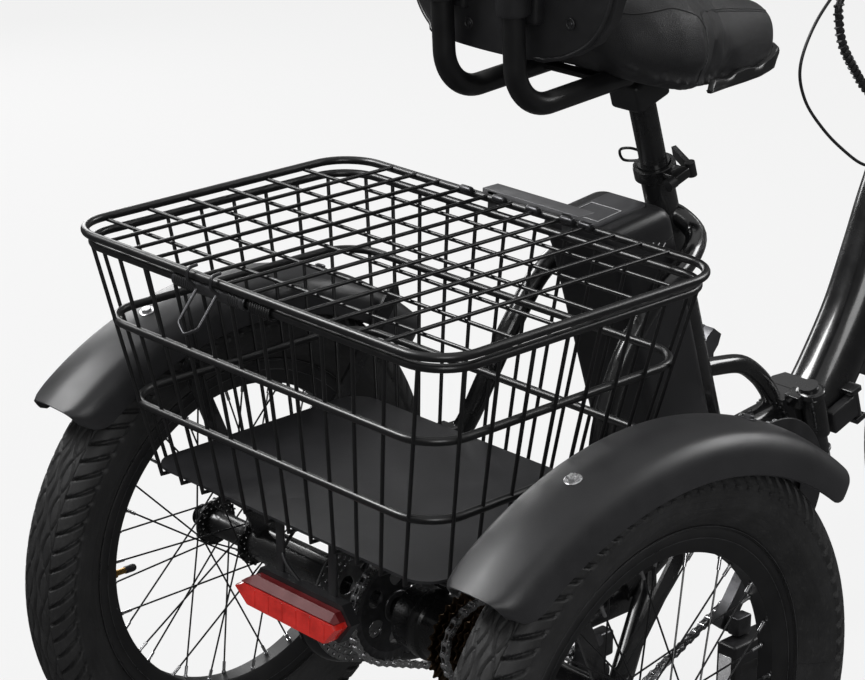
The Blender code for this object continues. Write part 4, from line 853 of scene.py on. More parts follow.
# ================================================================ front frame and fold latch
part("front_frame", "frame_paint", [
    tube(smooth_path([(0, 0.643, 0.359), (0, 0.6715, 0.3945), (0, 0.715, 0.461),
                      (0, 0.7473, 0.532), (0, 0.774, 0.5965), (0, 0.8095, 0.666),
                      (0, 0.855, 0.7195)], 6), 0.0375, 48),
    # head tube and its two collars
    rod(at_head(-0.004), at_head(0.122), 0.0230),
    rod(at_head(-0.012), at_head(0.002), 0.0270),
    rod(at_head(0.112), at_head(0.124), 0.0270),
    # front half of the hinge with its middle knuckle
    hinge_half(1),
    fold_block((-0.026, 0.0200, -0.036), (0.026, 0.0800, 0.012), 0.005),
    hinge_rod(-0.0185, 0.0265, 0.0120),
    fold_block((0.020, 0.0030, -0.0180), (0.042, 0.0210, 0.0260)),
    # ears that hold the fold latch
    fold_block((0.022, 0.0600, -0.0020), (0.054, 0.0780, 0.0055)),
    fold_block((0.022, 0.0600, -0.0430), (0.054, 0.0780, -0.0355)),
    fold_block((0.018, 0.0600, -0.0410), (0.029, 0.0780, 0.0040)),
])
latch_pivot = at_fold(0.0690, -0.0188, 0.0450)
part("fold_latch_lever", "black_plastic",
     [fold_block((0.0385, 0.0225, -0.0340), (0.0520, 0.0740, -0.0035), 0.003),
      rod(latch_pivot - FOLD_UP * 0.0160, latch_pivot + FOLD_UP * 0.0160, 0.0075),
      fold_block((0.0310, 0.0230, -0.0300), (0.0480, 0.0330, -0.0190), 0.002)])

# ---------------------------------------------------------------- fork
fork = [rod(at_head(-0.020), at_head(0.160), 0.0143),
        block((-0.082, -0.026, -0.014), (0.082, 0.026, 0.014), at_head(-0.030), HEAD_AXES,
              0.004)]
for side in (-1, 1):
    fork += [tube([at_head(-0.030, 0.0, side * 0.066), at_head(-0.250, 0.004, side * 0.066),
                   FRONT_AXLE + Vector((side * 0.062, -0.006, 0.016))], 0.0155, 32, 0.12),
             rod(FRONT_AXLE + X * side * 0.0545, FRONT_AXLE + X * side * 0.0625, 0.017)]
part("fork", "frame_paint", fork)

# ================================================================ stem, handlebar and controls
STEM_PIVOT = at_head(0.180, 0.0315)
BAR_UP = 0.402
BAR = at_head(BAR_UP)
part("stem_base", "frame_paint",
     [rod(at_head(0.1245), at_head(0.1720), 0.0220),
      block((-0.0175, 0.010, 0.158), (0.0175, 0.038, 0.1715), HEAD_LOW, HEAD_AXES),
      block((-0.0175, -0.004, -0.015), (-0.0095, 0.004, 0.0), STEM_PIVOT, HEAD_AXES),
      block((0.0095, -0.004, -0.015), (0.0175, 0.004, 0.0), STEM_PIVOT, HEAD_AXES),
      rod(STEM_PIVOT - X * 0.018, STEM_PIVOT - X * 0.0085, 0.0080),
      rod(STEM_PIVOT + X * 0.0085, STEM_PIVOT + X * 0.018, 0.0080),
      cross_rod(STEM_PIVOT, 0.016, 0.0030)])
part("stem_riser", "frame_paint",
     [rod(at_head(0.1728), at_head(0.190), 0.0220),
      rod(at_head(0.186), at_head(BAR_UP - 0.006), 0.0165),
      cross_rod(BAR, 0.024, 0.0200),
      cross_rod(STEM_PIVOT, 0.0080, 0.0080),
      block((-0.0080, 0.012, 0.181), (0.0080, 0.034, 0.192), HEAD_LOW, HEAD_AXES)])
stem_lock = at_head(0.160, -0.031)
part("stem_latch", "dark_steel",
     [cross_rod(stem_lock, 0.009, 0.0060),
      block((-0.008, -0.008, -0.006), (0.008, -0.002, 0.050), stem_lock, HEAD_AXES, 0.002)])

# right half of the handlebar, from the grip's end to the clamp
BAR_RIGHT = [Vector(p) for p in ((0.338, 0.640, 1.082), (0.205, 0.705, 1.100),
                                 (0.125, 0.742, 1.088), (0.065, 0.748, 1.040),
                                 (0.035, BAR.y, BAR.z))]
GRIP_DIR = (BAR_RIGHT[0] - BAR_RIGHT[1]).normalized()
GRIP_AHEAD = Z.cross(GRIP_DIR).normalized()


def on_side(point, side):
    return Vector((side * point.x, point.y, point.z))


def on_bar(side, distance):
    """A point on the straight of the handlebar, from its inner end towards the grip's end."""
    return on_side(BAR_RIGHT[1] + GRIP_DIR * distance, side)


def grip_axes(side):
    """Outwards along the grip, ahead of it, and upwards."""
    along, ahead = on_side(GRIP_DIR, side), on_side(GRIP_AHEAD, side)
    return along, ahead, along.cross(ahead).normalized() * side


bar_left = [on_side(p, -1) for p in BAR_RIGHT][::-1]
handlebar = [tube(BAR_RIGHT + bar_left, 0.0111, 32, 0.05, up=Z)]
for side in (-1, 1):
    axes = grip_axes(side)
    clamp = on_bar(side, 0.030)
    handlebar += [rod(clamp - axes[0] * 0.009, clamp + axes[0] * 0.009, 0.0170),
                  block((-0.009, 0.012, -0.010), (0.009, 0.040, -0.0045), clamp, axes),
                  block((-0.009, 0.012, 0.0045), (0.009, 0.040, 0.010), clamp, axes)]
part("handlebar", "frame_paint", handlebar)


def grip_and_lever(name, side, start, length):
    along, ahead, up = grip_axes(side)
    profile = [(0.0, 0.0119), (0.0, 0.0175), (0.004, 0.0160), (length, 0.0160),
               (length + 0.006, 0.0175), (length + 0.010, 0.0150), (length + 0.010, 0.0119)]
    part("grip_" + name, "grip_rubber",
         [lathe(profile, on_bar(side, start), along, looped=True)])
    pivot = on_bar(side, 0.030) + ahead * 0.032
    blade = [pivot] + [pivot + along * out + ahead * forward for out, forward in
                       ((0.022, 0.006), (0.050, 0.010), (0.105, 0.004), (0.118, 0.010))]
    section = [(0.0035, 0.0055), (-0.0035, 0.0055), (-0.0035, -0.0055), (0.0035, -0.0055)]
    part("brake_lever_" + name, "dark_steel",
         [rod(pivot - up * 0.0040, pivot + up * 0.0040, 0.0075),
          sweep(blade, section, up=up)])


grip_and_lever("left", -1, 0.044, 0.108)
grip_and_lever("right", 1, 0.056, 0.096)

throttle, axes = on_bar(1, 0.041), grip_axes(1)
part("throttle_lever", "black_plastic",
     [lathe([(0.0, 0.0121), (0.0, 0.0175), (0.0125, 0.0175), (0.0125, 0.0121)], throttle,
            axes[0], looped=True),
      block((0.001, -0.030, -0.020), (0.0115, -0.010, -0.012), throttle, axes, 0.002)])
part("display_unit", "display_gloss",
     [block((-0.040, -0.024, 0.0225), (0.040, 0.024, 0.0360), BAR,
            (X, (Y * 0.94 + Z * 0.34).normalized(), (Z * 0.94 - Y * 0.34).normalized()),
            0.004)])

# ================================================================ seat post, saddle base, tubes
part("seat_post", "hub_black", [rod(at_seat(0.190), at_seat(0.522), 0.0152)])
part("seat_collar", "hub_black",
     [lathe([(0.006, 0.0187), (0.006, 0.0240), (0.021, 0.0240), (0.021, 0.0187)],
            at_seat(0.424), SEAT_UP, looped=True),
      block((0.019, -0.0115, 0.0075), (0.042, 0.0115, 0.0190), at_seat(0.424), SEAT_AXES,
            0.002),
      rod(at_seat(0.436, 0.010, 0.036), at_seat(0.436, 0.0215, 0.036), 0.0070)])
quick_pivot = at_seat(0.436, -0.0185, 0.036)
part("seat_qr_lever", "black_plastic",
     [rod(quick_pivot - SEAT_UP * 0.0085, quick_pivot + SEAT_UP * 0.0085, 0.0058),
      sweep([quick_pivot, at_seat(0.436, -0.0400, -0.006)],
            [(0.0070, 0.0028), (-0.0070, 0.0028), (-0.0070, -0.0028), (0.0070, -0.0028)],
            up=SEAT_UP)])
part("saddle_base", "black_plastic", [
    block((-0.022, -0.026, 0.0005), (0.022, 0.026, 0.034), at_seat(0.5228), SEAT_AXES, 0.005),
    block((-0.047, 0.245, 0.8450), (0.047, 0.340, 0.8540), bevel=0.002),
    rod((-0.022, 0.300, 0.838), (-0.022, 0.430, 0.832), 0.0045),
    rod((0.022, 0.300, 0.838), (0.022, 0.430, 0.832), 0.0045),
    block((-0.030, 0.400, 0.822), (0.030, 0.440, 0.8290)),
    block((-0.018, 0.290, 0.815), (0.018, 0.345, 0.848)),
    block((-0.026, 0.236, 0.834), (0.026, 0.262, 0.852)),
])

BACK_TUBE_X = 0.0507     # backrest tubes, each side of the mid-plane
back_tubes = [tube([(x, 0.060, 0.985), (x, 0.070, 0.838), (x, 0.234, 0.8500)], 0.0118, 40,
                   0.048, 16) for x in (-BACK_TUBE_X, BACK_TUBE_X)]
part("backrest_frame", "gloss_rod",
     back_tubes + [block((-0.0500, 0.2040, 0.8440), (0.0500, 0.2220, 0.8500))])

part("battery_dock", "black_plastic",
     [block((-0.026, 0.0190, 0.076), (0.026, 0.0345, 0.395), SEAT_FOOT, SEAT_AXES, 0.002),
      block((-0.046, 0.0190, 0.072), (0.046, 0.124, 0.0825), SEAT_FOOT, SEAT_AXES, 0.002)])

# ================================================================ basket
BASKET_X = -0.018        # middle of the basket
RIM_Z = 0.691
ROD_R, WIRE_R = 0.0045, 0.0021
# (z, half width, rear y, front y): three hoops, then the feet of the wires
LEVELS = [(RIM_Z, 0.2725, -0.230, 0.150), (0.610, 0.2510, -0.2185, 0.1355),
          (0.521, 0.2330, -0.2045, 0.1245), (0.4425, 0.2165, -0.1920, 0.1160)]


def rect_loop(x0, x1, y0, y1, z, radius, steps=12):
    """A level rectangle with rounded corners."""
    points = []
    for cx, cy, start in ((x1 - radius, y1 - radius, 0), (x0 + radius, y1 - radius, 90),
                          (x0 + radius, y0 + radius, 180), (x1 - radius, y0 + radius, 270)):
        for k in range(steps + 1):
            angle = math.radians(start + 90 * k / steps)
            points.append(Vector((cx + radius * math.cos(angle),
                                  cy + radius * math.sin(angle), z)))
    return points


def basket_wire(inward, share):
    """An upright on the side that faces inward, at share (-1 to 1) along it; its foot turns in."""
    points = []
    for z, half_width, rear_y, front_y in (LEVELS[0], LEVELS[-1]):
        middle_y, half_length = (rear_y + front_y) / 2, (front_y - rear_y) / 2
        if inward.y:
            x = BASKET_X + share * (half_width - 0.030)
            points.append(Vector((x, front_y if inward.y < 0 else rear_y, z)))
        else:
            x = BASKET_X - inward.x * half_width
            points.append(Vector((x, middle_y + share * (half_length - 0.030), z)))
    points.append(points[-1] + inward * 0.012 - Z * 0.0006)
    return sweep(points, circle(WIRE_R), up=inward)


wires = [sweep(rect_loop(BASKET_X - half, BASKET_X + half, rear_y, front_y, z, 0.045),
               circle(ROD_R, 14), True)
         for z, half, rear_y, front_y in LEVELS[:3]]
for count, directions in ((12, (Y, -Y)), (8, (-X, X))):
    for i in range(count):
        wires += [basket_wire(inward, -1 + 2 * i / (count - 1)) for inward in directions]
part("basket", "gloss_rod", wires)

# the floor sheet takes its outline from the walls' slope at this height
FLOOR_LEVEL = 0.446
above, below = LEVELS[2:]
share = (FLOOR_LEVEL - below[0]) / (above[0] - below[0])
half, rear_y, front_y = (b + (a - b) * share for a, b in zip(above[1:], below[1:]))
part("basket_floor", "floor_sheet",
     [loft([rect_loop(BASKET_X - half + 0.0045, BASKET_X + half - 0.0045, rear_y + 0.0045,
                      front_y - 0.0045, z, 0.030) for z in (0.4450, 0.4480)])])

LID_Z = 0.704
LID_X0, LID_X1 = BASKET_X - 0.2775, BASKET_X + 0.2775
LID_Y0, LID_Y1 = -0.237, 0.157
lid = [sweep(rect_loop(LID_X0, LID_X1, LID_Y0, LID_Y1, LID_Z, 0.048), circle(ROD_R, 14), True)]
for i in range(12):
    x = BASKET_X + (i - 5.5) * 0.037
    lid.append(rod((x, LID_Y0, LID_Z + 0.0024), (x, LID_Y1, LID_Z + 0.0024), WIRE_R))
for i in range(6):
    y = -0.186 + 0.0546 * i
    lid.append(rod((LID_X0, y, LID_Z - 0.0024), (LID_X1, y, LID_Z - 0.0024), WIRE_R))
part("basket_lid", "gloss_rod", lid)


def latch_wire(offsets):
    """A bent wire of the lid's latch, through offsets from the basket rim's rear."""
    points = [LATCH + Vector(offset) for offset in offsets]
    return tube(points, 0.0017, 10, 0.0055, 12)


LATCH = Vector((0, -0.230, RIM_Z))
latch = [lathe([(-0.122, 0.0056), (-0.122, 0.0082), (-0.012, 0.0082), (-0.012, 0.0056)], LATCH,
               looped=True)]
latch += [latch_wire([(x, -0.007, 0.001), (x, -0.0165, 0.010), (x, -0.0150, 0.0215),
                      (x, -0.0035, 0.0222)]) for x in (-0.086, -0.050)]
latch.append(latch_wire([(-0.083, -0.007, -0.001), (-0.083, -0.031, -0.030),
                         (-0.068, -0.036, -0.038), (-0.053, -0.031, -0.030),
                         (-0.053, -0.007, -0.001)]))
part("lid_latch", "dark_steel", latch)

# ---------------------------------------------------------------- tail light housing
hangers = [block((x - 0.006, -0.1800, z0), (x + 0.006, y1, 0.4415))
           for z0, y1 in ((0.370, -0.1770), (0.4385, -0.150)) for x in (-0.030, 0.050)]
outline = [(-0.066, 0.364), (-0.050, 0.386), (0.074, 0.386), (0.088, 0.368), (0.070, 0.343),
           (-0.048, 0.345)]   # (x, z)
part("tail_light_housing", "black_plastic",
     hangers + [loft([[Vector((x, y, z)) for x, z in outline] for y in (-0.1885, -0.1765)])])


# ================================================================ tyres
# (x, radius) of one half, from the crown to the bead
TYRE_PROFILE = [(0.0, 0.2820), (0.010, 0.2816), (0.020, 0.2795), (0.028, 0.2748),
                (0.0335, 0.2680), (0.0370, 0.2590), (0.0386, 0.2480), (0.0376, 0.2360),
                (0.0335, 0.2250), (0.0275, 0.2165), (0.0215, 0.2105), (0.0186, 0.2080)]
# (x, radius) of the inner wall that joins the two beads
TYRE_INNER = np.array([(0.0186, 0.2075), (0.0140, 0.2072), (-0.0140, 0.2072),
                       (-0.0186, 0.2075)])
TREAD_PITCH = 2 * math.pi * WHEEL_R / 42
TYRE_STEPS = 1008


def spun(centre, x, radius, angles):
    """Points [angle, profile] of a profile turned about an axis through centre along X."""
    x = np.broadcast_to(x, (len(angles), np.shape(x)[-1]))
    return np.stack([centre.x + x, centre.y + radius * np.cos(angles)[:, None],
                     centre.z + radius * np.sin(angles)[:, None]], -1)


def profile_samples():
    """Points on half the tyre: (x, radius, arc distance from the crown), dense in the tread."""
    path = smooth_path(TYRE_PROFILE, 24)
    distance = [0.0]
    for here, following in zip(path, path[1:]):
        distance.append(distance[-1] + (following - here).length)
    wanted = np.concatenate([np.arange(0, 0.0535, 0.0011),
                             np.linspace(0.0550, distance[-1], 18)])
    return (np.interp(wanted, distance, [p.x for p in path]),
            np.interp(wanted, distance, [p.y for p in path]), wanted)


def tread_height(along, across):
    """Tread relief: chains of almond blocks in the middle, slanted blocks on the shoulders."""
    chain_at, shoulder_at, shoulder_edge = 0.0125, 0.0195, 0.0200
    turns = math.pi * along / TREAD_PITCH
    away = np.abs(across)

    def groove(at, half, soft, where):
        return 1 - np.clip((np.abs(where - at) - half) / soft, 0, 1)

    leaf = 0.0062 * np.sin(turns)
    lanes = np.maximum.reduce([
        groove(chain_at + leaf, 0.0008, 0.0010, away),
        groove(chain_at - leaf, 0.0008, 0.0010, away),
        groove(0.0, 0.0012, 0.0012, across + 0.0016 * np.sin(2 * turns))])
    inside = np.clip((np.abs(leaf) - np.abs(away - chain_at) - 0.0012) / 0.0008, 0, 1)
    hatch = np.sin(math.pi * (along + 0.9 * (away - chain_at)) / 0.0034)
    hatch = np.clip(1.6 * np.abs(hatch) - 0.5, 0, 1)
    # curved slanting gaps between the shoulder blocks, wider outwards
    shift = np.where(across < 0, 0.5, 0.0)
    slant = 1.10 * np.clip((away - shoulder_at) / 0.032, 0, 1) ** 1.3
    lean = along / (TREAD_PITCH * 0.5) + shift + slant
    from_gap = np.abs(((lean + 0.5) % 1.0) - 0.5) * TREAD_PITCH * 0.5
    gap_half = 0.0008 + 0.0022 * np.clip((away - shoulder_at) / 0.028, 0, 1)
    gap = (1 - np.clip((from_gap - gap_half) / 0.0010, 0, 1)) * (away > shoulder_at)
    edge = groove(shoulder_edge, 0.0006, 0.0008, away)
    depth = np.where(away < shoulder_edge, lanes * 0.0024 + inside * (1 - hatch) * 0.0009,
                     np.maximum(gap * 0.0050, edge * 0.0018))
    fade = 1 - np.clip((away - 0.0505) / 0.003, 0, 1)
    height = -depth * fade - 0.0026 * np.clip((away - 0.0500) / 0.0025, 0, 1)
    # stepped ring near the bead
    return height + 0.0007 * (np.clip((away - 0.072) / 0.0010, 0, 1)
                              - np.clip((away - 0.078) / 0.0010, 0, 1))


def build_tyre(node, centre):
    half_x, half_radius, arc = profile_samples()
    x = np.concatenate([-half_x[:0:-1], half_x])
    radius = np.concatenate([half_radius[:0:-1], half_radius])
    across = np.concatenate([-arc[:0:-1], arc])
    angles = 2 * math.pi * np.arange(TYRE_STEPS) / TYRE_STEPS
    slope_x, slope_radius = np.gradient(x), np.gradient(radius)
    length = np.hypot(slope_x, slope_radius)
    normal_x, normal_radius = -slope_radius / length, slope_x / length
    along_grid, across_grid = np.meshgrid(angles * WHEEL_R, across, indexing="ij")
    height = tread_height(along_grid, across_grid)
    outside = spun(centre, x[None, :] + normal_x[None, :] * height,
                   radius[None, :] + normal_radius[None, :] * height, angles)
    inside = spun(centre, TYRE_INNER[:, 0], TYRE_INNER[:, 1], angles)
    points = np.concatenate([outside, inside], 1)
    # UVs in metres: round the tyre and across it, the inner wall set beyond the bead
    uv = np.zeros((*points.shape[:2], 2))
    uv[:, :len(x), 0], uv[:, :len(x), 1] = along_grid, across_grid
    uv[:, len(x):, 1] = 0.09
    spun_part(node, "tyre", points, [3, 2, 1, 0], 60, uv)


# ================================================================ rims
# (x, radius) round the section
RIM_PROFILE = np.array([
    (-0.0183, 0.2098), (-0.0158, 0.2092), (-0.0160, 0.1980), (-0.0166, 0.1968),
    (-0.0150, 0.1930), (-0.0115, 0.1822), (-0.0095, 0.1798), (0.0095, 0.1798),
    (0.0115, 0.1822), (0.0150, 0.1930), (0.0166, 0.1968), (0.0160, 0.1980),
    (0.0158, 0.2092), (0.0183, 0.2098), (0.012, 0.2060), (-0.012, 0.2060)])
RIM_STEPS = 180
RIM_LINES = ((0.0187, 0.2095, 0.00042), (0.01695, 0.1970, 0.00036))   # x, radius, wire radius


def build_rim(node, centre):
    """The rim and the two thin bright lines on each of its sides."""
    angles = 2 * math.pi * np.arange(RIM_STEPS) / RIM_STEPS
    points = spun(centre, RIM_PROFILE[:, 0], RIM_PROFILE[:, 1], angles)
    spun_part(node, "rim_black", points, [1, 2, 3, 0], 30)
    for side in (-1, 1):
        for j, (x, radius, wire) in enumerate(RIM_LINES):
            path = [around(centre, angle, radius, side * x) for angle in angles[::2]]
            section = [(wire * math.cos(q), wire * math.sin(q)) for q in (0.5, 2.1, 3.7, 5.3)]
            show("rim_line_%s_%d_%d" % (node, side + 1, j), [sweep(path, section, True, X)],
                 "rim_line", BODY_OF[node])


# ================================================================ hubs and spokes
def ring_with_holes(centre, x0, x1, rows, count, hole_radius, hole_sides):
    """A flat ring between x0 and x1; each row (inner, outer radius) has count round holes."""
    bm = bmesh.new()
    for row, (inner, outer) in enumerate(rows):
        for k in range(count):
            start = 2 * math.pi * (k + 0.5 * row) / count
            end = start + 2 * math.pi / count
            middle, middle_radius = (start + end) / 2, (inner + outer) / 2
            cell, hole = [], []    # (angle, radius) round the cell's edge and the hole
            for j in range(hole_sides):
                q = 2 * math.pi * j / hole_sides
                cos, sin = math.cos(q), math.sin(q)
                grow = 1 / max(abs(cos), abs(sin))
                cell.append((middle + (end - start) / 2 * cos * grow,
                             middle_radius + (outer - inner) / 2 * sin * grow))
                hole.append((middle + hole_radius * cos / middle_radius,
                             middle_radius + hole_radius * sin))
            edges = []
            for x, flip in ((x0, False), (x1, True)):
                cell_verts = [bm.verts.new(around(centre, a, r, x)) for a, r in cell]
                hole_verts = [bm.verts.new(around(centre, a, r, x)) for a, r in hole]
                edges.append(hole_verts)
                for j in range(hole_sides):
                    following = (j + 1) % hole_sides
                    face = [cell_verts[j], cell_verts[following], hole_verts[following],
                            hole_verts[j]]
                    bm.faces.new(face[::-1] if flip else face)
            join_rings(bm, *edges)
    steps = 96
    for radius, inward in ((rows[0][0], True), (rows[-1][1], False)):
        near, far = [[bm.verts.new(around(centre, 2 * math.pi * k / steps, radius, x))
                      for k in range(steps)] for x in (x0, x1)]
        for k in range(steps):
            j = (k + 1) % steps
            face = [near[k], near[j], far[j], far[k]]
            bm.faces.new(face if inward else face[::-1])
    return bm


def show_spokes(node, centre, phase, body):
    """Crossed spokes; each flange's leading and trailing spokes lie in their own planes."""
    flange_radius, rim_radius, wire = 0.0265, 0.1790, 0.00105
    section = [(wire * math.cos(q), wire * math.sin(q)) for q in np.arange(8) * math.pi / 4]
    black, silver = [], []
    for i in range(SPOKES):
        side = 1 if i % 2 else -1
        lead = 1 if (i // 2) % 2 else -1
        at_rim = math.radians(360.0 / SPOKES * i + phase)
        at_hub = at_rim + lead * math.radians(62.0)
        lane = 0.0022 if lead > 0 else -0.0018
        inner = centre + radial(at_hub, flange_radius, side * (HUB_FLANGE + lane * 0.9))
        outer = centre + radial(at_rim, rim_radius, side * (0.0052 + lane))
        along = (outer - inner).normalized()
        black.append(sweep([inner - X * side * 0.0045, inner, inner + along * 0.004,
                            outer - along * 0.011], section))
        black.append(rod(inner + X * side * 0.0005, inner + X * side * 0.0022, 0.0021))
        silver.append(rod(outer - along * 0.013, outer, 0.0019))
        silver.append(rod(outer - along * 0.0020, outer, 0.0026))
    show("spokes_" + node, black, "spoke", body)
    show("nipples_" + node, silver, "nipple", body)


def build_rear_hub(node, centre, inward, phase, valve_turn):
    """A flanged hub whose half axle reaches inward, with its spokes and valve."""
    body = BODY_OF[node]
    reach, outer, flange = TRACK_HALF - 0.004, 0.062, HUB_FLANGE
    profile = [
        (-outer, 0.0), (-outer, 0.006), (-outer + 0.003, 0.009), (-0.056, 0.009),
        (-0.056, 0.014), (-0.050, 0.0175), (-flange - 0.003, 0.0180), (-0.030, 0.0165),
        (-0.020, 0.0150), (0.020, 0.0150), (0.030, 0.0165), (flange - 0.003, 0.018),
        (flange + 0.004, 0.018), (flange + 0.008, 0.014), (flange + 0.008, 0.010),
        (reach, 0.010), (reach, 0.0)]
    shapes = [lathe(profile, centre, X * inward)]
    for side in (-1, 1):
        shapes.append(ring_with_holes(centre, side * flange - 0.0016, side * flange + 0.0016,
                                      [(0.0170, 0.0222), (0.0222, 0.0278)], 18, 0.0015, 8))
    # nut and washer at the outer end
    shapes.append(lathe([(-0.006, 0.0), (-0.006, 0.0085), (0.0, 0.0098), (0.004, 0.0098),
                         (0.004, 0.013), (0.0055, 0.013), (0.0055, 0.0)],
                        centre - X * inward * (outer - 0.0035), -X * inward))
    part(node, "hub_black", shapes)
    show_spokes(node, centre, phase, body)
    out = radial(math.radians(phase + valve_turn))
    base = centre + out * 0.181
    show("valve_" + node, [rod(base, base - out * 0.020, 0.0034),
                           rod(base - out * 0.004, base - out * 0.0075, 0.0052)],
         "brass", body)
    show("valve_cap_" + node,
         [lathe([(0, 0), (0, 0.0042), (0.012, 0.0044), (0.015, 0.003), (0.0155, 0)],
                base - out * 0.020, -out)], "black_plastic", body)


def build_front_hub():
    profile = [(-0.066, 0.0), (-0.066, 0.006), (-0.047, 0.006), (-0.047, 0.018),
               (-0.040, 0.034), (-0.034, 0.034), (-0.033, 0.022), (0.033, 0.022),
               (0.034, 0.034), (0.040, 0.034), (0.047, 0.018), (0.047, 0.006),
               (0.066, 0.006), (0.066, 0.0)]
    shapes = [lathe(profile, FRONT_AXLE)]
    for side in (-1, 1):
        shapes.append(ring_with_holes(FRONT_AXLE, side * HUB_FLANGE - 0.0032,
                                      side * HUB_FLANGE + 0.0032, [(0.0225, 0.0345)],
                                      18, 0.0016, 8))
    part("hub_front", "hub_black", shapes, "front_wheel")
    show_spokes("hub_front", FRONT_AXLE, 2.0, "front_wheel")
    out = radial(math.radians(250))
    show("valve_hub_front", [rod(FRONT_AXLE + out * 0.181, FRONT_AXLE + out * 0.161, 0.0034)],
         "brass", "front_wheel")


WHEELS = (("left", LEFT), ("right", RIGHT), ("front", FRONT_AXLE))
for name, centre in WHEELS:
    build_tyre("tyre_" + name, centre)
for name, centre in WHEELS:
    build_rim("rim_" + name, centre)
build_rear_hub("hub_left", LEFT, inward=1, phase=4.7, valve_turn=175.0)
build_rear_hub("hub_right", RIGHT, inward=-1, phase=7.9, valve_turn=238.0)
build_front_hub()


# ================================================================ chains
def belt(circles, step):
    """Points of the path round circles (centre, pitch radius, +1 or -1 for its turn)."""
    count = len(circles)
    heading = []
    for i in range(count):
        (centre, radius, turn), (centre2, radius2, turn2) = circles[i], circles[(i + 1) % count]
        way = centre2 - centre
        heading.append(math.atan2(way.z, way.y)
                       + math.asin((turn * radius - turn2 * radius2) / math.hypot(way.y, way.z)))
    points = []
    for i, (centre, radius, turn) in enumerate(circles):
        start = heading[i - 1] - turn * math.pi / 2
        end = heading[i] - turn * math.pi / 2
        angle = (end - start) * turn % (2 * math.pi)
        steps = max(2, math.ceil(angle / step))
        for j in range(steps + 1):
            points.append(around(centre, start + turn * angle * j / steps, radius))
    return points


def chain(node, path, x):
    """A roller chain: inner and outer plates with rollers and pins, one pitch apart."""
    pitch, end_radius, waist = 0.0127, 0.0041, 0.0028
    lengths = [(path[(i + 1) % len(path)] - path[i]).length for i in range(len(path))]
    count = 2 * round(sum(lengths) / pitch / 2)
    step = sum(lengths) / count
    distance = np.concatenate([[0], np.cumsum(lengths)])
    ys = np.array([p.y for p in path + path[:1]])
    zs = np.array([p.z for p in path + path[:1]])
    pins = [Vector((x, float(np.interp(i * step, distance, ys)),
                    float(np.interp(i * step, distance, zs)))) for i in range(count)]
    plates, rollers = [], []
    for i, pin in enumerate(pins):
        following = pins[(i + 1) % count]
        along = (following - pin).normalized()
        wide = along.cross(X).normalized()
        outline = []
        for centre, start, sign in ((pin, math.pi / 2, -1), (following, -math.pi / 2, 1)):
            for k in range(7):
                q = start + math.pi * k / 6
                outline.append(centre + along * math.cos(q) * end_radius
                               + wide * math.sin(q) * end_radius)
            outline.append((pin + following) / 2 + wide * (sign * waist))
        offset = 0.0024 if i % 2 else 0.0035
        for side in (-1, 1):
            plates.append(loft([[p + X * (side * offset + half) for p in outline]
                                for half in (-0.0005, 0.0005)]))
        rollers += [cross_rod(pin, 0.0024, 0.0038), cross_rod(pin, 0.0046, 0.0017)]
    part(node, "steel", plates + rollers, "frame")


chain("pedal_chain", belt([(AXLE + X * PEDAL_CHAIN_X, COG_R, 1),
                           (UPPER_PULLEY, UPPER_PULLEY_R, -1),
                           (LOWER_PULLEY, LOWER_PULLEY_R, 1),
                           (CRANK + X * PEDAL_CHAIN_X, RING_R, 1)], 0.06), PEDAL_CHAIN_X)
chain("motor_chain", belt([(AXLE + X * MOTOR_CHAIN_X, AXLE_SPROCKET_R, 1),
                           (MOTOR + X * MOTOR_CHAIN_X, MOTOR_SPROCKET_R, 1)], 0.05),
      MOTOR_CHAIN_X)


# ================================================================ sprockets and rotor
def toothed(centre, x0, x1, teeth, pitch_radius, inner):
    """A sprocket plate: rounded teeth outside, a plain bore inside."""
    steps = teeth * 8
    angles = [2 * math.pi * k / steps for k in range(steps)]
    root = pitch_radius - 0.0042
    tips = [root + 0.0056 * ((0.5 - 0.5 * math.cos(teeth * q)) ** 1.3) for q in angles]
    bm = bmesh.new()
    rows = []
    # the teeth are lower on the two faces than in the middle of the plate
    for x, share in ((x0, 0.6), (x0 + (x1 - x0) * 0.3, 1.0), (x1 - (x1 - x0) * 0.3, 1.0),
                     (x1, 0.6)):
        rows.append([bm.verts.new(around(centre, q, root + (tip - pitch_radius + 0.0042) * share,
                                         x)) for q, tip in zip(angles, tips)])
    bore = [[bm.verts.new(around(centre, q, inner, x)) for q in angles] for x in (x0, x1)]
    rows = [bore[0]] + rows + [bore[1]]
    for i, row in enumerate(rows):
        join_rings(bm, row, rows[(i + 1) % len(rows)])
    bmesh.ops.recalc_face_normals(bm, faces=bm.faces)
    return bm


COGS = ((0.0598, 0.0555, 28), (0.0662, 0.0505, 24), (0.0710, 0.0460, 21), (0.0750, 0.0425, 18),
        (0.0798, 0.0385, 16), (0.0845, 0.0345, 14))   # x, pitch radius, teeth
cog_set = [toothed(AXLE, x - 0.0009, x + 0.0009, teeth, radius, 0.022)
           for x, radius, teeth in COGS]
cog_set.append(lathe([(0.0580, SHAFT_GAP), (0.0580, 0.0235), (0.0870, 0.0235), (0.0870, 0.020),
                      (0.0960, 0.020), (0.0960, SHAFT_GAP)], AXLE, looped=True))
part("freewheel", "bronze_steel", cog_set, "freewheel")

centre = AXLE + X * MOTOR_CHAIN_X
part("axle_sprocket", "dark_steel", [
    toothed(centre, -0.0011, 0.0011, 32, AXLE_SPROCKET_R, 0.052),
    ring_with_holes(centre, -0.0011, 0.0011, [(0.0180, 0.0522)], 6, 0.0105, 16),
    lathe([(-0.012, SHAFT_GAP), (-0.012, 0.018), (0.003, 0.0185), (0.003, SHAFT_GAP)], centre,
          looped=True)], "left_wheel")

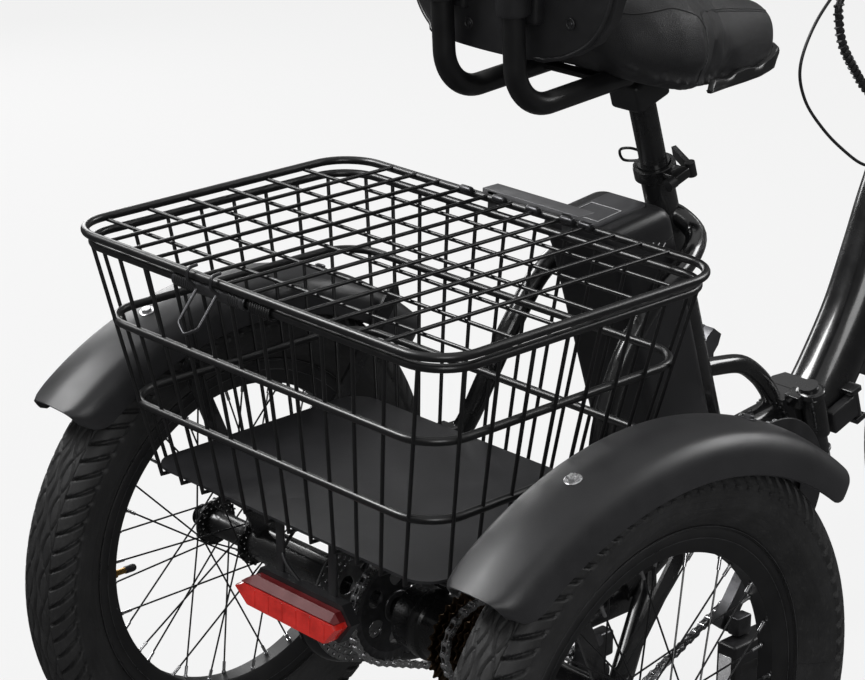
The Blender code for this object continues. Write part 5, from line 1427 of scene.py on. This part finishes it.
centre = AXLE + X * ROTOR_X
part("brake_rotor", "dark_steel", [
    ring_with_holes(centre, -0.0009, 0.0009, [(0.0500, 0.0575), (0.0575, 0.0650),
                                              (0.0650, 0.0725), (0.0725, 0.0800)],
                    44, 0.0021, 10),
    ring_with_holes(centre, -0.0009, 0.0009, [(0.0180, 0.0502)], 6, 0.0110, 16),
    lathe([(-0.008, SHAFT_GAP), (-0.008, 0.019), (-0.001, 0.024), (0.002, 0.024),
           (0.002, SHAFT_GAP)], centre, looped=True)], "left_wheel", look="rotor_steel")
show("rotor_bolts", [lathe([(0, 0), (0, 0.0035), (0.003, 0.0032), (0.0035, 0)],
                           centre + radial(2 * math.pi * (k + 0.5) / 6, 0.0215, 0.0008))
                     for k in range(6)], "steel", "left_wheel")

part("motor_sprocket", "dark_steel", [
    toothed(MOTOR + X * MOTOR_CHAIN_X, -0.0012, 0.0012, 13, MOTOR_SPROCKET_R, 0.008),
    lathe([(-0.052, 0.0), (-0.052, 0.010), (-0.0375, 0.010), (-0.0375, 0.0)], MOTOR)],
    "motor_gear")
show("chainring_teeth",
     [toothed(CRANK + X * PEDAL_CHAIN_X, -0.0012, 0.0012, 42, RING_R, 0.066)],
     "dark_steel", "crank")
for centre, radius, teeth in ((UPPER_PULLEY, UPPER_PULLEY_R, 11),
                              (LOWER_PULLEY, LOWER_PULLEY_R, 12)):
    show("pulley_teeth_%d" % teeth, [toothed(centre, -0.0014, 0.0014, teeth, radius, 0.004)],
         "steel", "frame")

# ================================================================ mudguards
# (share of the half width, height against the crown) across the arch
ARCH = [(-1.0, -0.044), (-0.985, -0.034), (-0.93, -0.020), (-0.78, -0.0095), (-0.55, -0.004),
        (0.0, 0.0), (0.55, -0.004), (0.78, -0.0095), (0.93, -0.020), (0.985, -0.034),
        (1.0, -0.044)]
MUDGUARD_R = 0.313       # crown radius before the drop of the centre is added
REAR_DROP, FRONT_DROP = 0.081, 0.040   # how far the arc's centre lies below the axle
TIP_LENGTH = 0.030       # the tips narrow and flatten over this length


def arc_centre(centre, drop):
    return centre + Vector((0, -0.004, -drop))


def mudguard(node, centre, start, end, drop, half, steps=72):
    """An arched strip from start to end degrees, with rounded tips."""
    arch = smooth_path(ARCH, 6)
    low = arc_centre(centre, drop)
    span = math.radians(end - start)
    radius = MUDGUARD_R + drop
    sections = []
    for i in range(steps + 1):
        share = i / steps
        out = radial(math.radians(start) + span * share)
        to_tip = min(share, 1 - share) * span * radius
        ease = math.sqrt(1 - (1 - max(0.0, min(1.0, to_tip / TIP_LENGTH))) ** 2)
        narrow, flat = 0.70 + 0.30 * ease, 0.45 + 0.55 * ease
        outer = [low + X * (half * p.x * narrow) + out * (radius + p.y * flat) for p in arch]
        inner = [low + X * (half * p.x * 0.955 * narrow)
                 + out * (radius + p.y * 0.97 * flat - 0.0030) for p in arch[::-1]]
        sections.append(outer + inner)
    obj = part(node, "fender_plastic", [loft(sections)], sharp=42)
    ease_edges(obj, width=0.0008, segments=2, angle=50)


def ease_edges(obj, width, segments, angle):
    bevel = obj.modifiers.new("edge", "BEVEL")
    bevel.width = width
    bevel.segments = segments
    bevel.limit_method = "ANGLE"
    bevel.angle_limit = math.radians(angle)


def hex_bolt(name, place, direction, radius, height, look):
    """A hexagonal head on a washer."""
    place, direction = Vector(place), Vector(direction).normalized()
    matrix = axis_matrix(place, direction)
    rings = []
    for along, share in ((0, 1.0), (height * 0.8, 1.0), (height, 0.86)):
        rings.append([matrix @ Vector((along, radius * share * math.sin(math.pi * j / 3),
                                       radius * share * math.cos(math.pi * j / 3)))
                      for j in range(6)])
    washer = lathe([(-0.0002, 0.0), (-0.0002, radius * 1.45), (0.0012, radius * 1.45),
                    (0.0016, 0.0)], place, direction)
    show(name, [loft(rings), washer], look, "frame", 30)


mudguard("fender_left", LEFT, 47, 129.5, REAR_DROP, 0.050)
mudguard("fender_right", RIGHT, 47, 129.5, REAR_DROP, 0.050)
mudguard("fender_front", FRONT_AXLE, 36, 158, FRONT_DROP, 0.046)
for name, centre in (("l", LEFT), ("r", RIGHT)):
    for i, (angle, look) in enumerate(((107, "steel"), (70, "dark_steel"))):
        out = radial(math.radians(angle))
        place = arc_centre(centre, REAR_DROP) + out * (MUDGUARD_R + REAR_DROP - 0.0004)
        hex_bolt("fender_bolt_%s_%d" % (name, i), place, out, 0.0062, 0.0045, look)
for side in (-1, 1):
    for i, (y, z) in enumerate(STRUT_TOPS):
        hex_bolt("strut_bolt_%d_%d" % (side + 1, i), (side * 0.2655, y, z), (side, 0, 0),
                 0.0050, 0.0035, "dark_steel")


# ================================================================ saddle
def inflate(obj, pressure, frames=20):
    """A cloth simulation that swells the object in place of gravity."""
    cloth = obj.modifiers.new("cloth", "CLOTH")
    settings = cloth.settings
    settings.quality = 6
    settings.mass = 0.3
    settings.tension_stiffness = 18
    settings.compression_stiffness = 18
    settings.shear_stiffness = 6
    settings.bending_stiffness = 2.0
    settings.use_pressure = True
    settings.uniform_pressure_force = pressure
    settings.effector_weights.gravity = 0
    cloth.collision_settings.use_collision = False
    scene = bpy.context.scene
    scene.frame_start, scene.frame_end = 1, frames
    cloth.point_cache.frame_start, cloth.point_cache.frame_end = 1, frames
    for frame in range(1, frames + 1):
        scene.frame_set(frame)


def cloth_pad(obj, voxel, pressure, cap, smooth):
    """Remesh, swell under pressure, cap the movement, then even out and subdivide."""
    remesh = obj.modifiers.new("remesh", "REMESH")
    remesh.mode = "VOXEL"
    remesh.voxel_size = voxel
    remesh.use_smooth_shade = True
    mesh = evaluated_mesh(obj)
    obj.modifiers.clear()
    obj.data = mesh
    rest = np.array([vert.co for vert in mesh.vertices])
    inflate(obj, pressure)
    swollen = evaluated_mesh(obj)
    obj.modifiers.clear()
    move = np.array([vert.co for vert in swollen.vertices]) - rest
    length = np.linalg.norm(move, axis=1, keepdims=True)
    capped = rest + move * np.minimum(1.0, cap / np.maximum(length, 1e-9))
    swollen.vertices.foreach_set("co", capped.astype(np.float32).ravel())
    obj.data = swollen
    bpy.context.scene.frame_set(1)
    even = obj.modifiers.new("even", "SMOOTH")
    even.factor = 0.5
    even.iterations = smooth
    fine = obj.modifiers.new("fine", "SUBSURF")
    fine.levels = fine.render_levels = 1
    finished = evaluated_mesh(obj)
    obj.modifiers.clear()
    obj.data = finished
    finished.shade_smooth()


# (y, half width, lower edge z, upper z, crown height at the middle line)
SADDLE = [
    (0.168, 0.070, 0.889, 0.915, -0.004), (0.182, 0.099, 0.872, 0.931, -0.004),
    (0.205, 0.120, 0.859, 0.942, -0.006), (0.235, 0.1285, 0.850, 0.946, -0.007),
    (0.265, 0.1275, 0.842, 0.943, -0.006), (0.300, 0.103, 0.830, 0.934, -0.004),
    (0.340, 0.078, 0.820, 0.921, -0.002), (0.380, 0.062, 0.815, 0.909, 0.0),
    (0.420, 0.054, 0.813, 0.899, 0.0), (0.455, 0.047, 0.812, 0.891, 0.0),
    (0.485, 0.040, 0.814, 0.883, 0.0), (0.503, 0.029, 0.820, 0.872, 0.0),
    (0.511, 0.016, 0.829, 0.863, 0.0)]


def saddle_ring(y, half, low, high, dip):
    """A section: from the lower edge on the right, over the top, and back along the underside."""
    wall = min(0.014, 0.4 * half)
    lowest, steps = -38.0, 30
    over = [(half * 0.96, low)]
    for k in range(steps + 1):
        angle = math.radians(lowest + (180.0 - 2 * lowest) * k / steps)
        cos, sin = math.cos(angle), math.sin(angle)
        x = half * math.copysign(abs(cos) ** 0.62, cos)
        if sin >= 0:
            z = (low + 0.30 * (high - low) + 0.70 * (high - low) * abs(sin) ** 0.75
                 + dip * max(0.0, 1 - abs(x / half) * 1.6))
        else:
            z = low + 0.30 * (high - low) - 0.30 * (high - low) * abs(sin) ** 0.9
        over.append((x, z))
    over.append((-half * 0.96, low))
    under = [(-(half - wall), low - 0.001), (0, low + 0.002), (half - wall, low - 0.001)]
    return [(x, y, z) for x, z in over + under]


saddle = part("saddle_cushion", "leather", [loft([saddle_ring(*row) for row in SADDLE])],
              "seat", sharp=80)
cloth_pad(saddle, voxel=0.0045, pressure=4.0, cap=0.005, smooth=5)

# ================================================================ backrest
SHELL_Y = 0.080
# (z, half width) up the shell
SHELL = [(0.891, 0.050), (0.894, 0.078), (0.902, 0.104), (0.918, 0.127), (0.940, 0.141),
         (0.970, 0.149), (1.015, 0.152), (1.060, 0.1515), (1.090, 0.146), (1.112, 0.133),
         (1.128, 0.112), (1.137, 0.084), (1.140, 0.056)]


def bowed(y, x):
    """The y of the backrest's curve at x, where its middle is at y."""
    return y + 1.3 * x ** 2


def shell_ring(z, half, thick=0.015):
    xs = [half * u for u in np.linspace(-1, 1, 17)]
    return ([(x, bowed(SHELL_Y, x), z) for x in xs]
            + [(x, bowed(SHELL_Y, x) + thick, z) for x in xs[::-1]])


shell = part("backrest_shell", "black_plastic", [loft([shell_ring(*row) for row in SHELL])],
             "backrest", sharp=42)
ease_edges(shell, width=0.003, segments=3, angle=48)

sleeves = []
for x in (-BACK_TUBE_X, BACK_TUBE_X):
    low, high = Vector((x, 0.0630, 0.9405)), Vector((x, 0.0590, 1.010))
    sleeves += [lathe([(0.0, 0.0132), (0.0, 0.0172), (0.004, 0.0180), (0.066, 0.0180),
                       (0.070, 0.0172), (0.070, 0.0132)], low, high - low, looped=True),
                block((x - 0.012, 0.068, 0.945), (x + 0.012, 0.088, 1.006), bevel=0.003),
                block((x - 0.020, 0.074, 0.930), (x + 0.020, 0.090, 1.030), bevel=0.004)]
show("backrest_sleeves", sleeves, "black_plastic", "backrest")

# raised lip round the back of the shell
right_edge = [Vector((half - 0.006, bowed(SHELL_Y, half - 0.006), z)) for z, half in SHELL[1:]]
lip = right_edge + [on_side(p, -1) for p in right_edge[::-1]]
show("backrest_lip", [sweep(smooth_path(lip + lip[:1], 6)[:-1], circle(0.0024), True, Y)],
     "black_plastic", "backrest")

screws, wells = [], []
for x, z in ((-0.100, 0.935), (0.100, 0.935), (-0.108, 1.090), (0.108, 1.090),
             (-0.030, 0.915), (0.030, 0.915)):
    y = bowed(SHELL_Y, x)
    wells.append(lathe([(0, 0.0036), (0, 0.0066), (0.0022, 0.0066), (0.0022, 0.0036)],
                       (x, y - 0.0016, z), Y, looped=True))
    screws.append(lathe([(0, 0), (0, 0.0030), (0.002, 0.0034), (0.0025, 0)],
                        (x, y + 0.0012, z), -Y))
show("backrest_wells", wells, "black_plastic", "backrest")
show("backrest_screws", screws, "dark_steel", "backrest")

# (z, half width, thickness) up the pad
PAD = [(0.912, 0.066, 0.010), (0.920, 0.092, 0.020), (0.935, 0.112, 0.030),
       (0.960, 0.127, 0.036), (1.000, 0.134, 0.039), (1.040, 0.134, 0.039),
       (1.070, 0.129, 0.036), (1.095, 0.116, 0.030), (1.110, 0.094, 0.020),
       (1.117, 0.068, 0.010)]


def pad_ring(z, half, thick):
    ring = [(half * u, bowed(0.0995, half * u), z) for u in np.linspace(-1, 1, 21)]
    for u in np.linspace(1, -1, 21)[1:-1]:
        ring.append((half * u, bowed(0.0995, half * u) + thick * (1 - abs(u) ** 4 * 0.9), z))
    return ring


pad = part("backrest_pad", "leather", [loft([pad_ring(*row) for row in PAD])], "backrest",
           sharp=80)
cloth_pad(pad, voxel=0.006, pressure=4.0, cap=0.007, smooth=6)

# ================================================================ saddle seams and nose bumper
saddle_tree = BVHTree.FromPolygons([vert.co.copy() for vert in saddle.data.vertices],
                                   [tuple(face.vertices) for face in saddle.data.polygons])


def snapped(points, lift=0.0001):
    """The points as a smooth path laid on the saddle's skin, lifted a little off it."""
    out = []
    shift = Vector((0, ORIGIN_Y, 0))
    for point in smooth_path(points, 12):
        place, normal, _, _ = saddle_tree.find_nearest(point - shift)
        out.append(place + normal * lift + shift)
    return out


def stitches_along(line, pitch=0.0034, length=0.0020):
    out, run = [], 0.0
    for here, following in zip(line, line[1:]):
        step = (following - here).length
        run += step
        if run > pitch and step > 1e-5:
            run = 0.0
            out.append(rod(here, here + (following - here).normalized() * length, 0.00085))
    return out


seams, stitches = [], []
for side in (-1, 1):
    for gap in (0.0, 0.0050):    # a double seam
        line = snapped([(side * 0.122, 0.292 + gap, 0.838), (side * 0.125, 0.288 + gap, 0.875),
                        (side * 0.112, 0.296 + gap, 0.915), (side * 0.088, 0.335 + gap, 0.922),
                        (side * (0.062 - gap), 0.390, 0.908),
                        (side * (0.046 - gap), 0.445, 0.892),
                        (side * (0.036 - gap), 0.490, 0.880)])
        seams.append(sweep(line, circle(0.0007)))
        stitches += stitches_along(line)
rear_seam = snapped([(0.118, 0.292, 0.905), (0.110, 0.240, 0.932), (0.088, 0.195, 0.928),
                     (0.0, 0.180, 0.922), (-0.088, 0.195, 0.928), (-0.110, 0.240, 0.932),
                     (-0.118, 0.292, 0.905)])
seams.append(sweep(rear_seam, circle(0.0008)))
show("saddle_seams", seams, "leather", "seat")
show("saddle_stitches", stitches, "thread", "seat")

# (y, z) of the bumper's wavy top edge
BUMPER_TOP = [(0.326, 0.8190), (0.331, 0.8262), (0.341, 0.8313), (0.362, 0.8280),
              (0.3826, 0.8219), (0.399, 0.8258), (0.425, 0.8262), (0.4498, 0.8216),
              (0.4752, 0.8264), (0.500, 0.8300), (0.517, 0.8340)]


def saddle_bumper():
    """A band round the saddle's nose, against its lower edge."""
    saddle_y, saddle_half, saddle_low = list(zip(*SADDLE))[:3]
    plan = [(float(np.interp(y, saddle_y, saddle_half)) + 0.0030, float(y))
            for y in np.linspace(0.322, 0.500, 26)]
    plan += [(0.031, 0.507), (0.020, 0.5135), (0.0, 0.5165)]
    plan += [(-x, y) for x, y in plan[-2::-1]]
    sections = []
    for i, (x, y) in enumerate(plan):
        before, after = plan[max(0, i - 1)], plan[min(len(plan) - 1, i + 1)]
        out = Vector((after[1] - before[1], before[0] - after[0], 0)).normalized()
        bottom = float(np.interp(y, saddle_y, saddle_low)) - 0.0020
        top = max(float(np.interp(y, *zip(*BUMPER_TOP))), bottom + 0.003)
        profile = [(-0.0045, bottom), (-0.0010, bottom - 0.0004), (0.0008, bottom + 0.0012),
                   (0.0012, (bottom + top) / 2), (0.0004, top - 0.0010), (-0.0012, top),
                   (-0.0060, top)]
        sections.append([Vector((x, y, 0)) + out * away + Z * z for away, z in profile])
    show("saddle_bumper", [loft(sections)], "gloss_rod", "seat", 50)


saddle_bumper()

# ================================================================ tail light
LENS_TOP = 0.371
LENS_OUTLINE = [(x, min(LENS_TOP, z)) for x, z in (
    (-0.073, 0.3640), (-0.0600, 0.3735), (-0.048, 0.381), (0.0740, 0.380), (0.0795, 0.3725),
    (0.083, 0.3665), (0.066, 0.3460), (-0.054, 0.3480))]
lens = [[Vector((x, y, z)) for x, z in LENS_OUTLINE] for y in (-0.1889, -0.2010)]
lens.append([Vector((0.009 + (p.x - 0.009) * 0.975, -0.2055, 0.361 + (p.z - 0.361) * 0.95))
             for p in lens[0]])
part("tail_light_lens", "red_lens", [loft(lens)], "frame", sharp=30)
# the top bar wears the darker red, painted shade on the tail light's top
top_bar = [[Vector((x, y, z)) for y, z in ((-0.1889, 0.3712), (-0.1889, top), (-0.1970, top),
                                          (-0.2040, 0.3722), (-0.2040, 0.3712))]
           for x, top in ((-0.062, 0.3730), (-0.048, 0.3808), (0.073, 0.3800),
                          (0.080, 0.3722))]
show("tail_light_top", [loft(top_bar)], "red_top_painted_shade", "frame", 30)
show("tail_light_ribs", [block((x - 0.0006, -0.2060, 0.3500), (x + 0.0006, -0.2045, 0.3690))
                         for x in np.linspace(-0.040, 0.066, 6)], "red_lens", "frame")
show("tail_light_wire",
     [sweep(smooth_path([(-0.034, -0.150, 0.428), (-0.0286, -0.175, 0.4104),
                         (-0.0194, -0.181, 0.4001), (-0.0042, -0.181, 0.3886),
                         (0.0065, -0.179, 0.3800)], 12), circle(0.0019))], "cable", "frame")

# ================================================================ fold hinge's turned pieces
CAP_X = 0.044            # middle of the hinge cap


def cap_ring(up, grow=0.0):
    """An oval ring round the hinge's axis, for its cap."""
    angles = [2 * math.pi * k / 32 for k in range(32)]
    return [at_fold((0.0150 + grow) * math.sin(q), up, CAP_X + (0.0185 + grow) * math.cos(q))
            for q in angles]


show("hinge_cap", [loft([cap_ring(0.0375, -0.001), cap_ring(0.0385), cap_ring(0.0440),
                         cap_ring(0.0455, -0.0015), cap_ring(0.0460, -0.0040)])],
     "frame_paint", "front", 40)
show("hinge_barrel",
     [lathe([(-0.0190, 0.0), (-0.0190, 0.0128), (-0.0170, 0.0138), (0.0350, 0.0138),
             (0.0370, 0.0125), (0.0370, 0.0)], at_fold(0, 0, 0.046), FOLD_UP)],
     "frame_paint", "front")
show("hinge_foot",
     [lathe([(-0.0660, 0.0), (-0.0660, 0.0075), (-0.0640, 0.0090), (-0.0480, 0.0090),
             (-0.0460, 0.0115), (-0.0420, 0.0115), (-0.0420, 0.0)],
            at_fold(0.004, 0, 0.042), FOLD_UP)], "grey_sheet", "frame")
show("hinge_pin_head",
     [lathe([(0.0460, 0.0), (0.0460, 0.0058), (0.0480, 0.0055), (0.0490, 0.0035),
             (0.0490, 0.0)], at_fold(0, 0, CAP_X), FOLD_UP)], "dark_steel", "front")


def weld_beads(ahead, count=26):
    """An oval row of small beads in a plane ahead of the hinge's axis."""
    profile = [(-0.0022, 0.0), (-0.0014, 0.0020), (0.0, 0.0026), (0.0014, 0.0020),
               (0.0022, 0.0)]
    angles = [2 * math.pi * k / count for k in range(count)]
    return [lathe(profile, at_fold(ahead, 0.0345 * math.sin(q) - 0.0025,
                                   0.0355 * math.cos(q) * 0.75), FOLD_AHEAD) for q in angles]


show("hinge_weld_rear", weld_beads(-0.0255), "frame_paint", "frame", 60)
show("hinge_weld_front", weld_beads(0.0265), "frame_paint", "front", 60)

# ================================================================ basket hardware
part("lid_hinge_plate", "frame_paint",
     [block((-0.088, 0.1625, 0.7098), (0.055, 0.1860, 0.7112)),
      block((-0.088, 0.1625, 0.7040), (0.055, 0.1637, 0.7105))]
     + [block((x, 0.1625, 0.6800), (x + 0.014, 0.1640, 0.7100)) for x in (-0.080, 0.030)],
     "frame", look="grey_sheet")
show("lid_hinge_knuckles",
     [lathe([(0.0, 0.0), (0.0, 0.0034), (0.0015, 0.0042), (0.0155, 0.0042), (0.017, 0.0034),
             (0.017, 0.0)], (x, 0.1515, 0.7085))
      for x in (-0.110, -0.060, -0.010, 0.040, 0.066)], "dark_steel", "frame")


def latch_coil(x0, x1, radius=0.0072, wire=0.0014, pitch=0.0034):
    """A spring round the latch's axis."""
    turns = (x1 - x0) / pitch
    steps = int(turns * 14)
    centre = Vector((0, LATCH.y, LATCH.z))
    return sweep([around(centre, 2 * math.pi * turns * k / steps, radius,
                         x0 + (x1 - x0) * k / steps) for k in range(steps + 1)],
                 circle(wire), up=X)


show("latch_coils", [latch_coil(-0.1180, -0.0880), latch_coil(-0.0360, -0.0200),
                     latch_coil(-0.0045, 0.0265)], "gloss_rod", "frame", 60)

# ================================================================ battery
CAP_SLOPE, SLOPE_FROM = 0.2037, 0.041   # rise of the top per distance behind the seat tube


def box_ring(up, half, front, back, corner, slope=0.0, grow=0.0):
    """A rounded rectangle across the seat tube, from front to back behind it."""
    out = []
    half, front, back = half + grow, front - grow, back + grow
    for side, end, start in ((1, 1, 0), (-1, 1, 90), (-1, -1, 180), (1, -1, 270)):
        for k in range(7):
            angle = math.radians(start + 90 * k / 6)
            x = side * (half - corner) + corner * math.cos(angle)
            behind = (back - corner if end > 0 else front + corner) + corner * math.sin(angle)
            out.append(at_seat(up + slope * (behind - SLOPE_FROM), behind, x))
    return out


# (distance up the seat tube, half width, front, back, slope, growth) up the case
CASE = [
    (0.086, 0.049, 0.040, 0.122, 0, -0.002), (0.0875, 0.049, 0.040, 0.122, 0, 0),
    (0.096, 0.0525, 0.0365, 0.1285, 0, 0), (0.230, 0.0530, 0.0365, 0.1295, 0, 0),
    # shallow groove round the case
    (0.3880, 0.0535, 0.0365, 0.1305, 0.10, 0), (0.3886, 0.0535, 0.0365, 0.1305, 0.10, -0.0012),
    (0.3902, 0.0535, 0.0365, 0.1305, 0.10, -0.0012), (0.3908, 0.0535, 0.0365, 0.1305, 0.10, 0),
    (0.4030, 0.0535, 0.0365, 0.1330, 0.17, 0), (0.4120, 0.0530, 0.0368, 0.1345, CAP_SLOPE, 0),
    (0.4190, 0.0505, 0.0390, 0.1325, CAP_SLOPE, 0),
    (0.4225, 0.0465, 0.0425, 0.1290, CAP_SLOPE, 0),
    (0.4235, 0.0420, 0.0470, 0.1245, CAP_SLOPE, 0)]
part("battery_case", "battery_shell",
     [loft([box_ring(up, half, front, back, 0.012, slope, grow)
            for up, half, front, back, slope, grow in CASE])], "battery", sharp=40)
show("battery_cap_strip",
     [loft([box_ring(up, 0.028, 0.048, 0.128, 0.006, CAP_SLOPE, grow) for up, grow in
            ((0.4200, 0), (0.4255, 0), (0.4262, -0.0010), (0.4265, -0.0025))])],
     "label", "battery", 40)
label_loop = [at_seat(0.4270 + CAP_SLOPE * (behind - SLOPE_FROM), behind, x) for x, behind in
              ((-0.0215, 0.082), (0.0215, 0.082), (0.0215, 0.118), (-0.0215, 0.118))]
show("battery_label_line", [sweep(label_loop, circle(0.00045), True, SEAT_UP)],
     "print", "battery")
show("battery_screw",
     [lathe([(0, 0), (0, 0.0042), (0.0012, 0.0040), (0.0018, 0.0028), (0.0018, 0)],
            at_seat(0.4145, 0.052, 0.040), SEAT_UP)], "steel", "battery")
dash_axes = (X, (SEAT_BEHIND * 0.86 - SEAT_UP * 0.5).normalized(),
             (SEAT_UP * 0.86 + SEAT_BEHIND * 0.5).normalized())
show("battery_dashes",
     [block((-0.0002, -0.0038, -0.0007), (0.0004, 0.0038, 0.0007),
            at_seat(0.4020 - 0.0050 * k, 0.0860 - 0.0085 * k, 0.0534), dash_axes)
      for k in range(4)], "print", "battery")

# ================================================================ cables
# (y, z) of the thin cable and of the bundle, from the frame up towards the stem
THIN_CABLE = [(0.770, 0.640), (0.7217, 0.6454), (0.6706, 0.6775), (0.6299, 0.7119),
              (0.5991, 0.7475), (0.5867, 0.7852), (0.6015, 0.8238), (0.6348, 0.8596),
              (0.700, 0.905), (0.775, 0.930), (0.835, 0.935)]
BUNDLE = [(0.800, 0.690), (0.7600, 0.705), (0.7121, 0.7395), (0.6845, 0.7685),
          (0.6587, 0.8027), (0.6483, 0.834), (0.6500, 0.8582), (0.690, 0.900),
          (0.760, 0.925), (0.830, 0.930)]
thin = smooth_path([(0, y, z) for y, z in THIN_CABLE], 12)
bundle = smooth_path([(0.004, y, z) for y, z in BUNDLE], 12)
show("cable_thin", [sweep(thin, circle(0.0019), up=X)], "cable", "front")
show("cable_bundle", [sweep(bundle, circle(0.0042, 20), up=X)], "cable", "front")


def spiral_wrap(path, radius=0.0050, pitch=0.0085, half=0.0010):
    """A square strip wound round the path."""
    distance = [0.0]
    for here, following in zip(path, path[1:]):
        distance.append(distance[-1] + (following - here).length)
    steps = int(distance[-1] / pitch * 12)
    out = []
    for k in range(steps + 1):
        run = distance[-1] * k / steps
        j = min(len(distance) - 2, max(0, int(np.searchsorted(distance, run)) - 1))
        here, following = path[j], path[j + 1]
        share = (run - distance[j]) / max(1e-9, distance[j + 1] - distance[j])
        across = (following - here).normalized().cross(X).normalized()
        angle = 2 * math.pi * run / pitch
        out.append(here + (following - here) * share + X * radius * math.cos(angle)
                   + across * radius * math.sin(angle))
    return sweep(out, [(half, half), (-half, half), (-half, -half), (half, -half)])


show("cable_wrap", [spiral_wrap(bundle)], "soft_plastic", "front")
show("collar_loop",
     [sweep(smooth_path([(-0.020, 0.345, 0.724), (-0.030, 0.350, 0.7177),
                         (-0.032, 0.3254, 0.7226), (-0.030, 0.3167, 0.7357),
                         (-0.030, 0.333, 0.7348), (-0.022, 0.345, 0.730)], 12),
            circle(0.0016))], "cable", "frame")

# ================================================================ chain guard, pedal reflectors
show("chain_guard",
     [lathe([(0.0825, 0.052), (0.0825, 0.0925), (0.0835, 0.0935), (0.0847, 0.0925),
             (0.0847, 0.052)], CRANK, looped=True)], "black_plastic", "crank")
for node in ("pedal_right", "pedal_left"):
    low, high = (Vector(corner) + Vector((0, ORIGIN_Y, 0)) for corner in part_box(node))
    middle = (low + high) / 2
    half_width, half_height = (high.x - low.x) * 0.32, (high.z - low.z) * 0.36
    plates = [block((middle.x - half_width, y0, middle.z - half_height),
                    (middle.x + half_width, y1, middle.z + half_height), bevel=0.001)
              for y0, y1 in ((low.y - 0.0012, low.y + 0.0020),
                             (high.y - 0.0020, high.y + 0.0012))]
    show("reflectors_" + node, plates, "white_reflector", BODY_OF[node])


# ================================================================ floor
def build_floor(size, y, z):
    """A softly glowing pale floor that leaves the reflections alone."""
    material = surface("m_floor", (0.05, 0.05, 0.05), rough=0.85, relief=0.0, vary=0.004,
                       vary_scale=2, rough_vary=0.02, spec=0.0)
    set_inputs(material.node_tree, material.node_tree.nodes["Principled BSDF"],
               {"Emission Color": (1, 1, 1, 1), "Emission Strength": 0.84})
    bm = bmesh.new()
    bmesh.ops.create_grid(bm, x_segments=2, y_segments=2, size=size)
    mesh = bpy.data.meshes.new("floor")
    bm.to_mesh(mesh)
    bm.free()
    floor = link_mesh("floor", mesh)
    floor.location = (0, y, z)
    mesh.materials.append(material)
    floor.visible_glossy = False


build_floor(size=60.0, y=0.3, z=-0.0005)


# ================================================================ lights
def area_light(name, place, target, width, height, power):
    light = bpy.data.lights.new(name, "AREA")
    light.shape = "RECTANGLE"
    light.size = width
    light.size_y = height
    light.energy = power
    light.spread = math.pi
    lamp = bpy.data.objects.new(name, light)
    lamp.location = Vector(place) - Vector((0, ORIGIN_Y, 0))
    aim = Vector(target) - Vector(place)
    lamp.rotation_euler = aim.to_track_quat("-Z", "Y").to_euler()
    bpy.context.scene.collection.objects.link(lamp)


area_light("key", place=(-2.2, -1.6, 3.4), target=(0, 0.2, 0.5), width=2.0, height=1.1,
           power=135)
area_light("fill", place=(3.2, -2.0, 2.2), target=(0, 0.2, 0.5), width=1.8, height=1.8,
           power=40)
area_light("rim", place=(1.2, 3.6, 2.6), target=(0, 0.3, 0.6), width=2.4, height=1.2,
           power=70)
area_light("side", place=(-3.2, 1.4, 1.6), target=(0, 0.2, 0.5), width=1.2, height=2.2,
           power=40)


# ================================================================ world
def build_world():
    """Even white light; glossy rays see a grey sky that brightens upwards."""
    world = bpy.data.worlds.new("studio")
    bpy.context.scene.world = world
    world.use_nodes = True
    tree = world.node_tree
    tree.nodes.clear()
    output = tree.nodes.new("ShaderNodeOutputWorld")
    plain = add_node(tree, "ShaderNodeBackground", {"Color": (1, 1, 1, 1), "Strength": 0.48})
    coordinates = add_node(tree, "ShaderNodeTexCoord", {})
    split = add_node(tree, "ShaderNodeSeparateXYZ",
                     {"Vector": coordinates.outputs["Generated"]})
    # (height, grey level)
    sky = ramp(tree, split.outputs["Z"],
               [(0.0, 0.07), (0.30, 0.09), (0.50, 0.18), (0.66, 0.42), (0.90, 0.55)])
    glossy = add_node(tree, "ShaderNodeBackground", {"Color": sky, "Strength": 1.0})
    rays = add_node(tree, "ShaderNodeLightPath", {})
    mix = add_node(tree, "ShaderNodeMixShader",
                   {"Fac": rays.outputs["Is Glossy Ray"], 1: plain.outputs["Background"],
                    2: glossy.outputs["Background"]})
    set_inputs(tree, output, {"Surface": mix.outputs["Shader"]})


build_world()


# ================================================================ camera
def build_camera(place, yaw, pitch, roll, lens):
    """A camera behind and to the right, looking ahead, to the left and down; angles in degrees."""
    yaw, pitch, roll = math.radians(yaw), math.radians(pitch), math.radians(roll)
    back = Vector((math.sin(yaw) * math.cos(pitch), -math.cos(yaw) * math.cos(pitch),
                   math.sin(pitch)))
    level = (-back).cross(Z).normalized()
    upright = level.cross(-back).normalized()
    right = level * math.cos(roll) + upright * math.sin(roll)
    up = -level * math.sin(roll) + upright * math.cos(roll)
    data = bpy.data.cameras.new("camera")
    data.sensor_width = 36.0
    data.lens = lens
    camera = bpy.data.objects.new("camera", data)
    camera.matrix_world = Matrix(((right.x, up.x, back.x, place.x),
                                  (right.y, up.y, back.y, place.y),
                                  (right.z, up.z, back.z, place.z), (0, 0, 0, 1)))
    bpy.context.scene.collection.objects.link(camera)
    bpy.context.scene.camera = camera


build_camera(Vector((1.88154829, -1.80991161 - ORIGIN_Y, 1.5514185)), yaw=46.0348,
             pitch=20.0177, roll=0.4849, lens=112.43)
bpy.context.scene.view_settings.view_transform = "Standard"

# ================================================================ CAD nodes that stay in view
for name, node in kit["nodes"].items():
    look = MATS[SLOT_OF[name]]
    if not node.hide_render:
        for material_slot in node.material_slots:
            material_slot.material = look
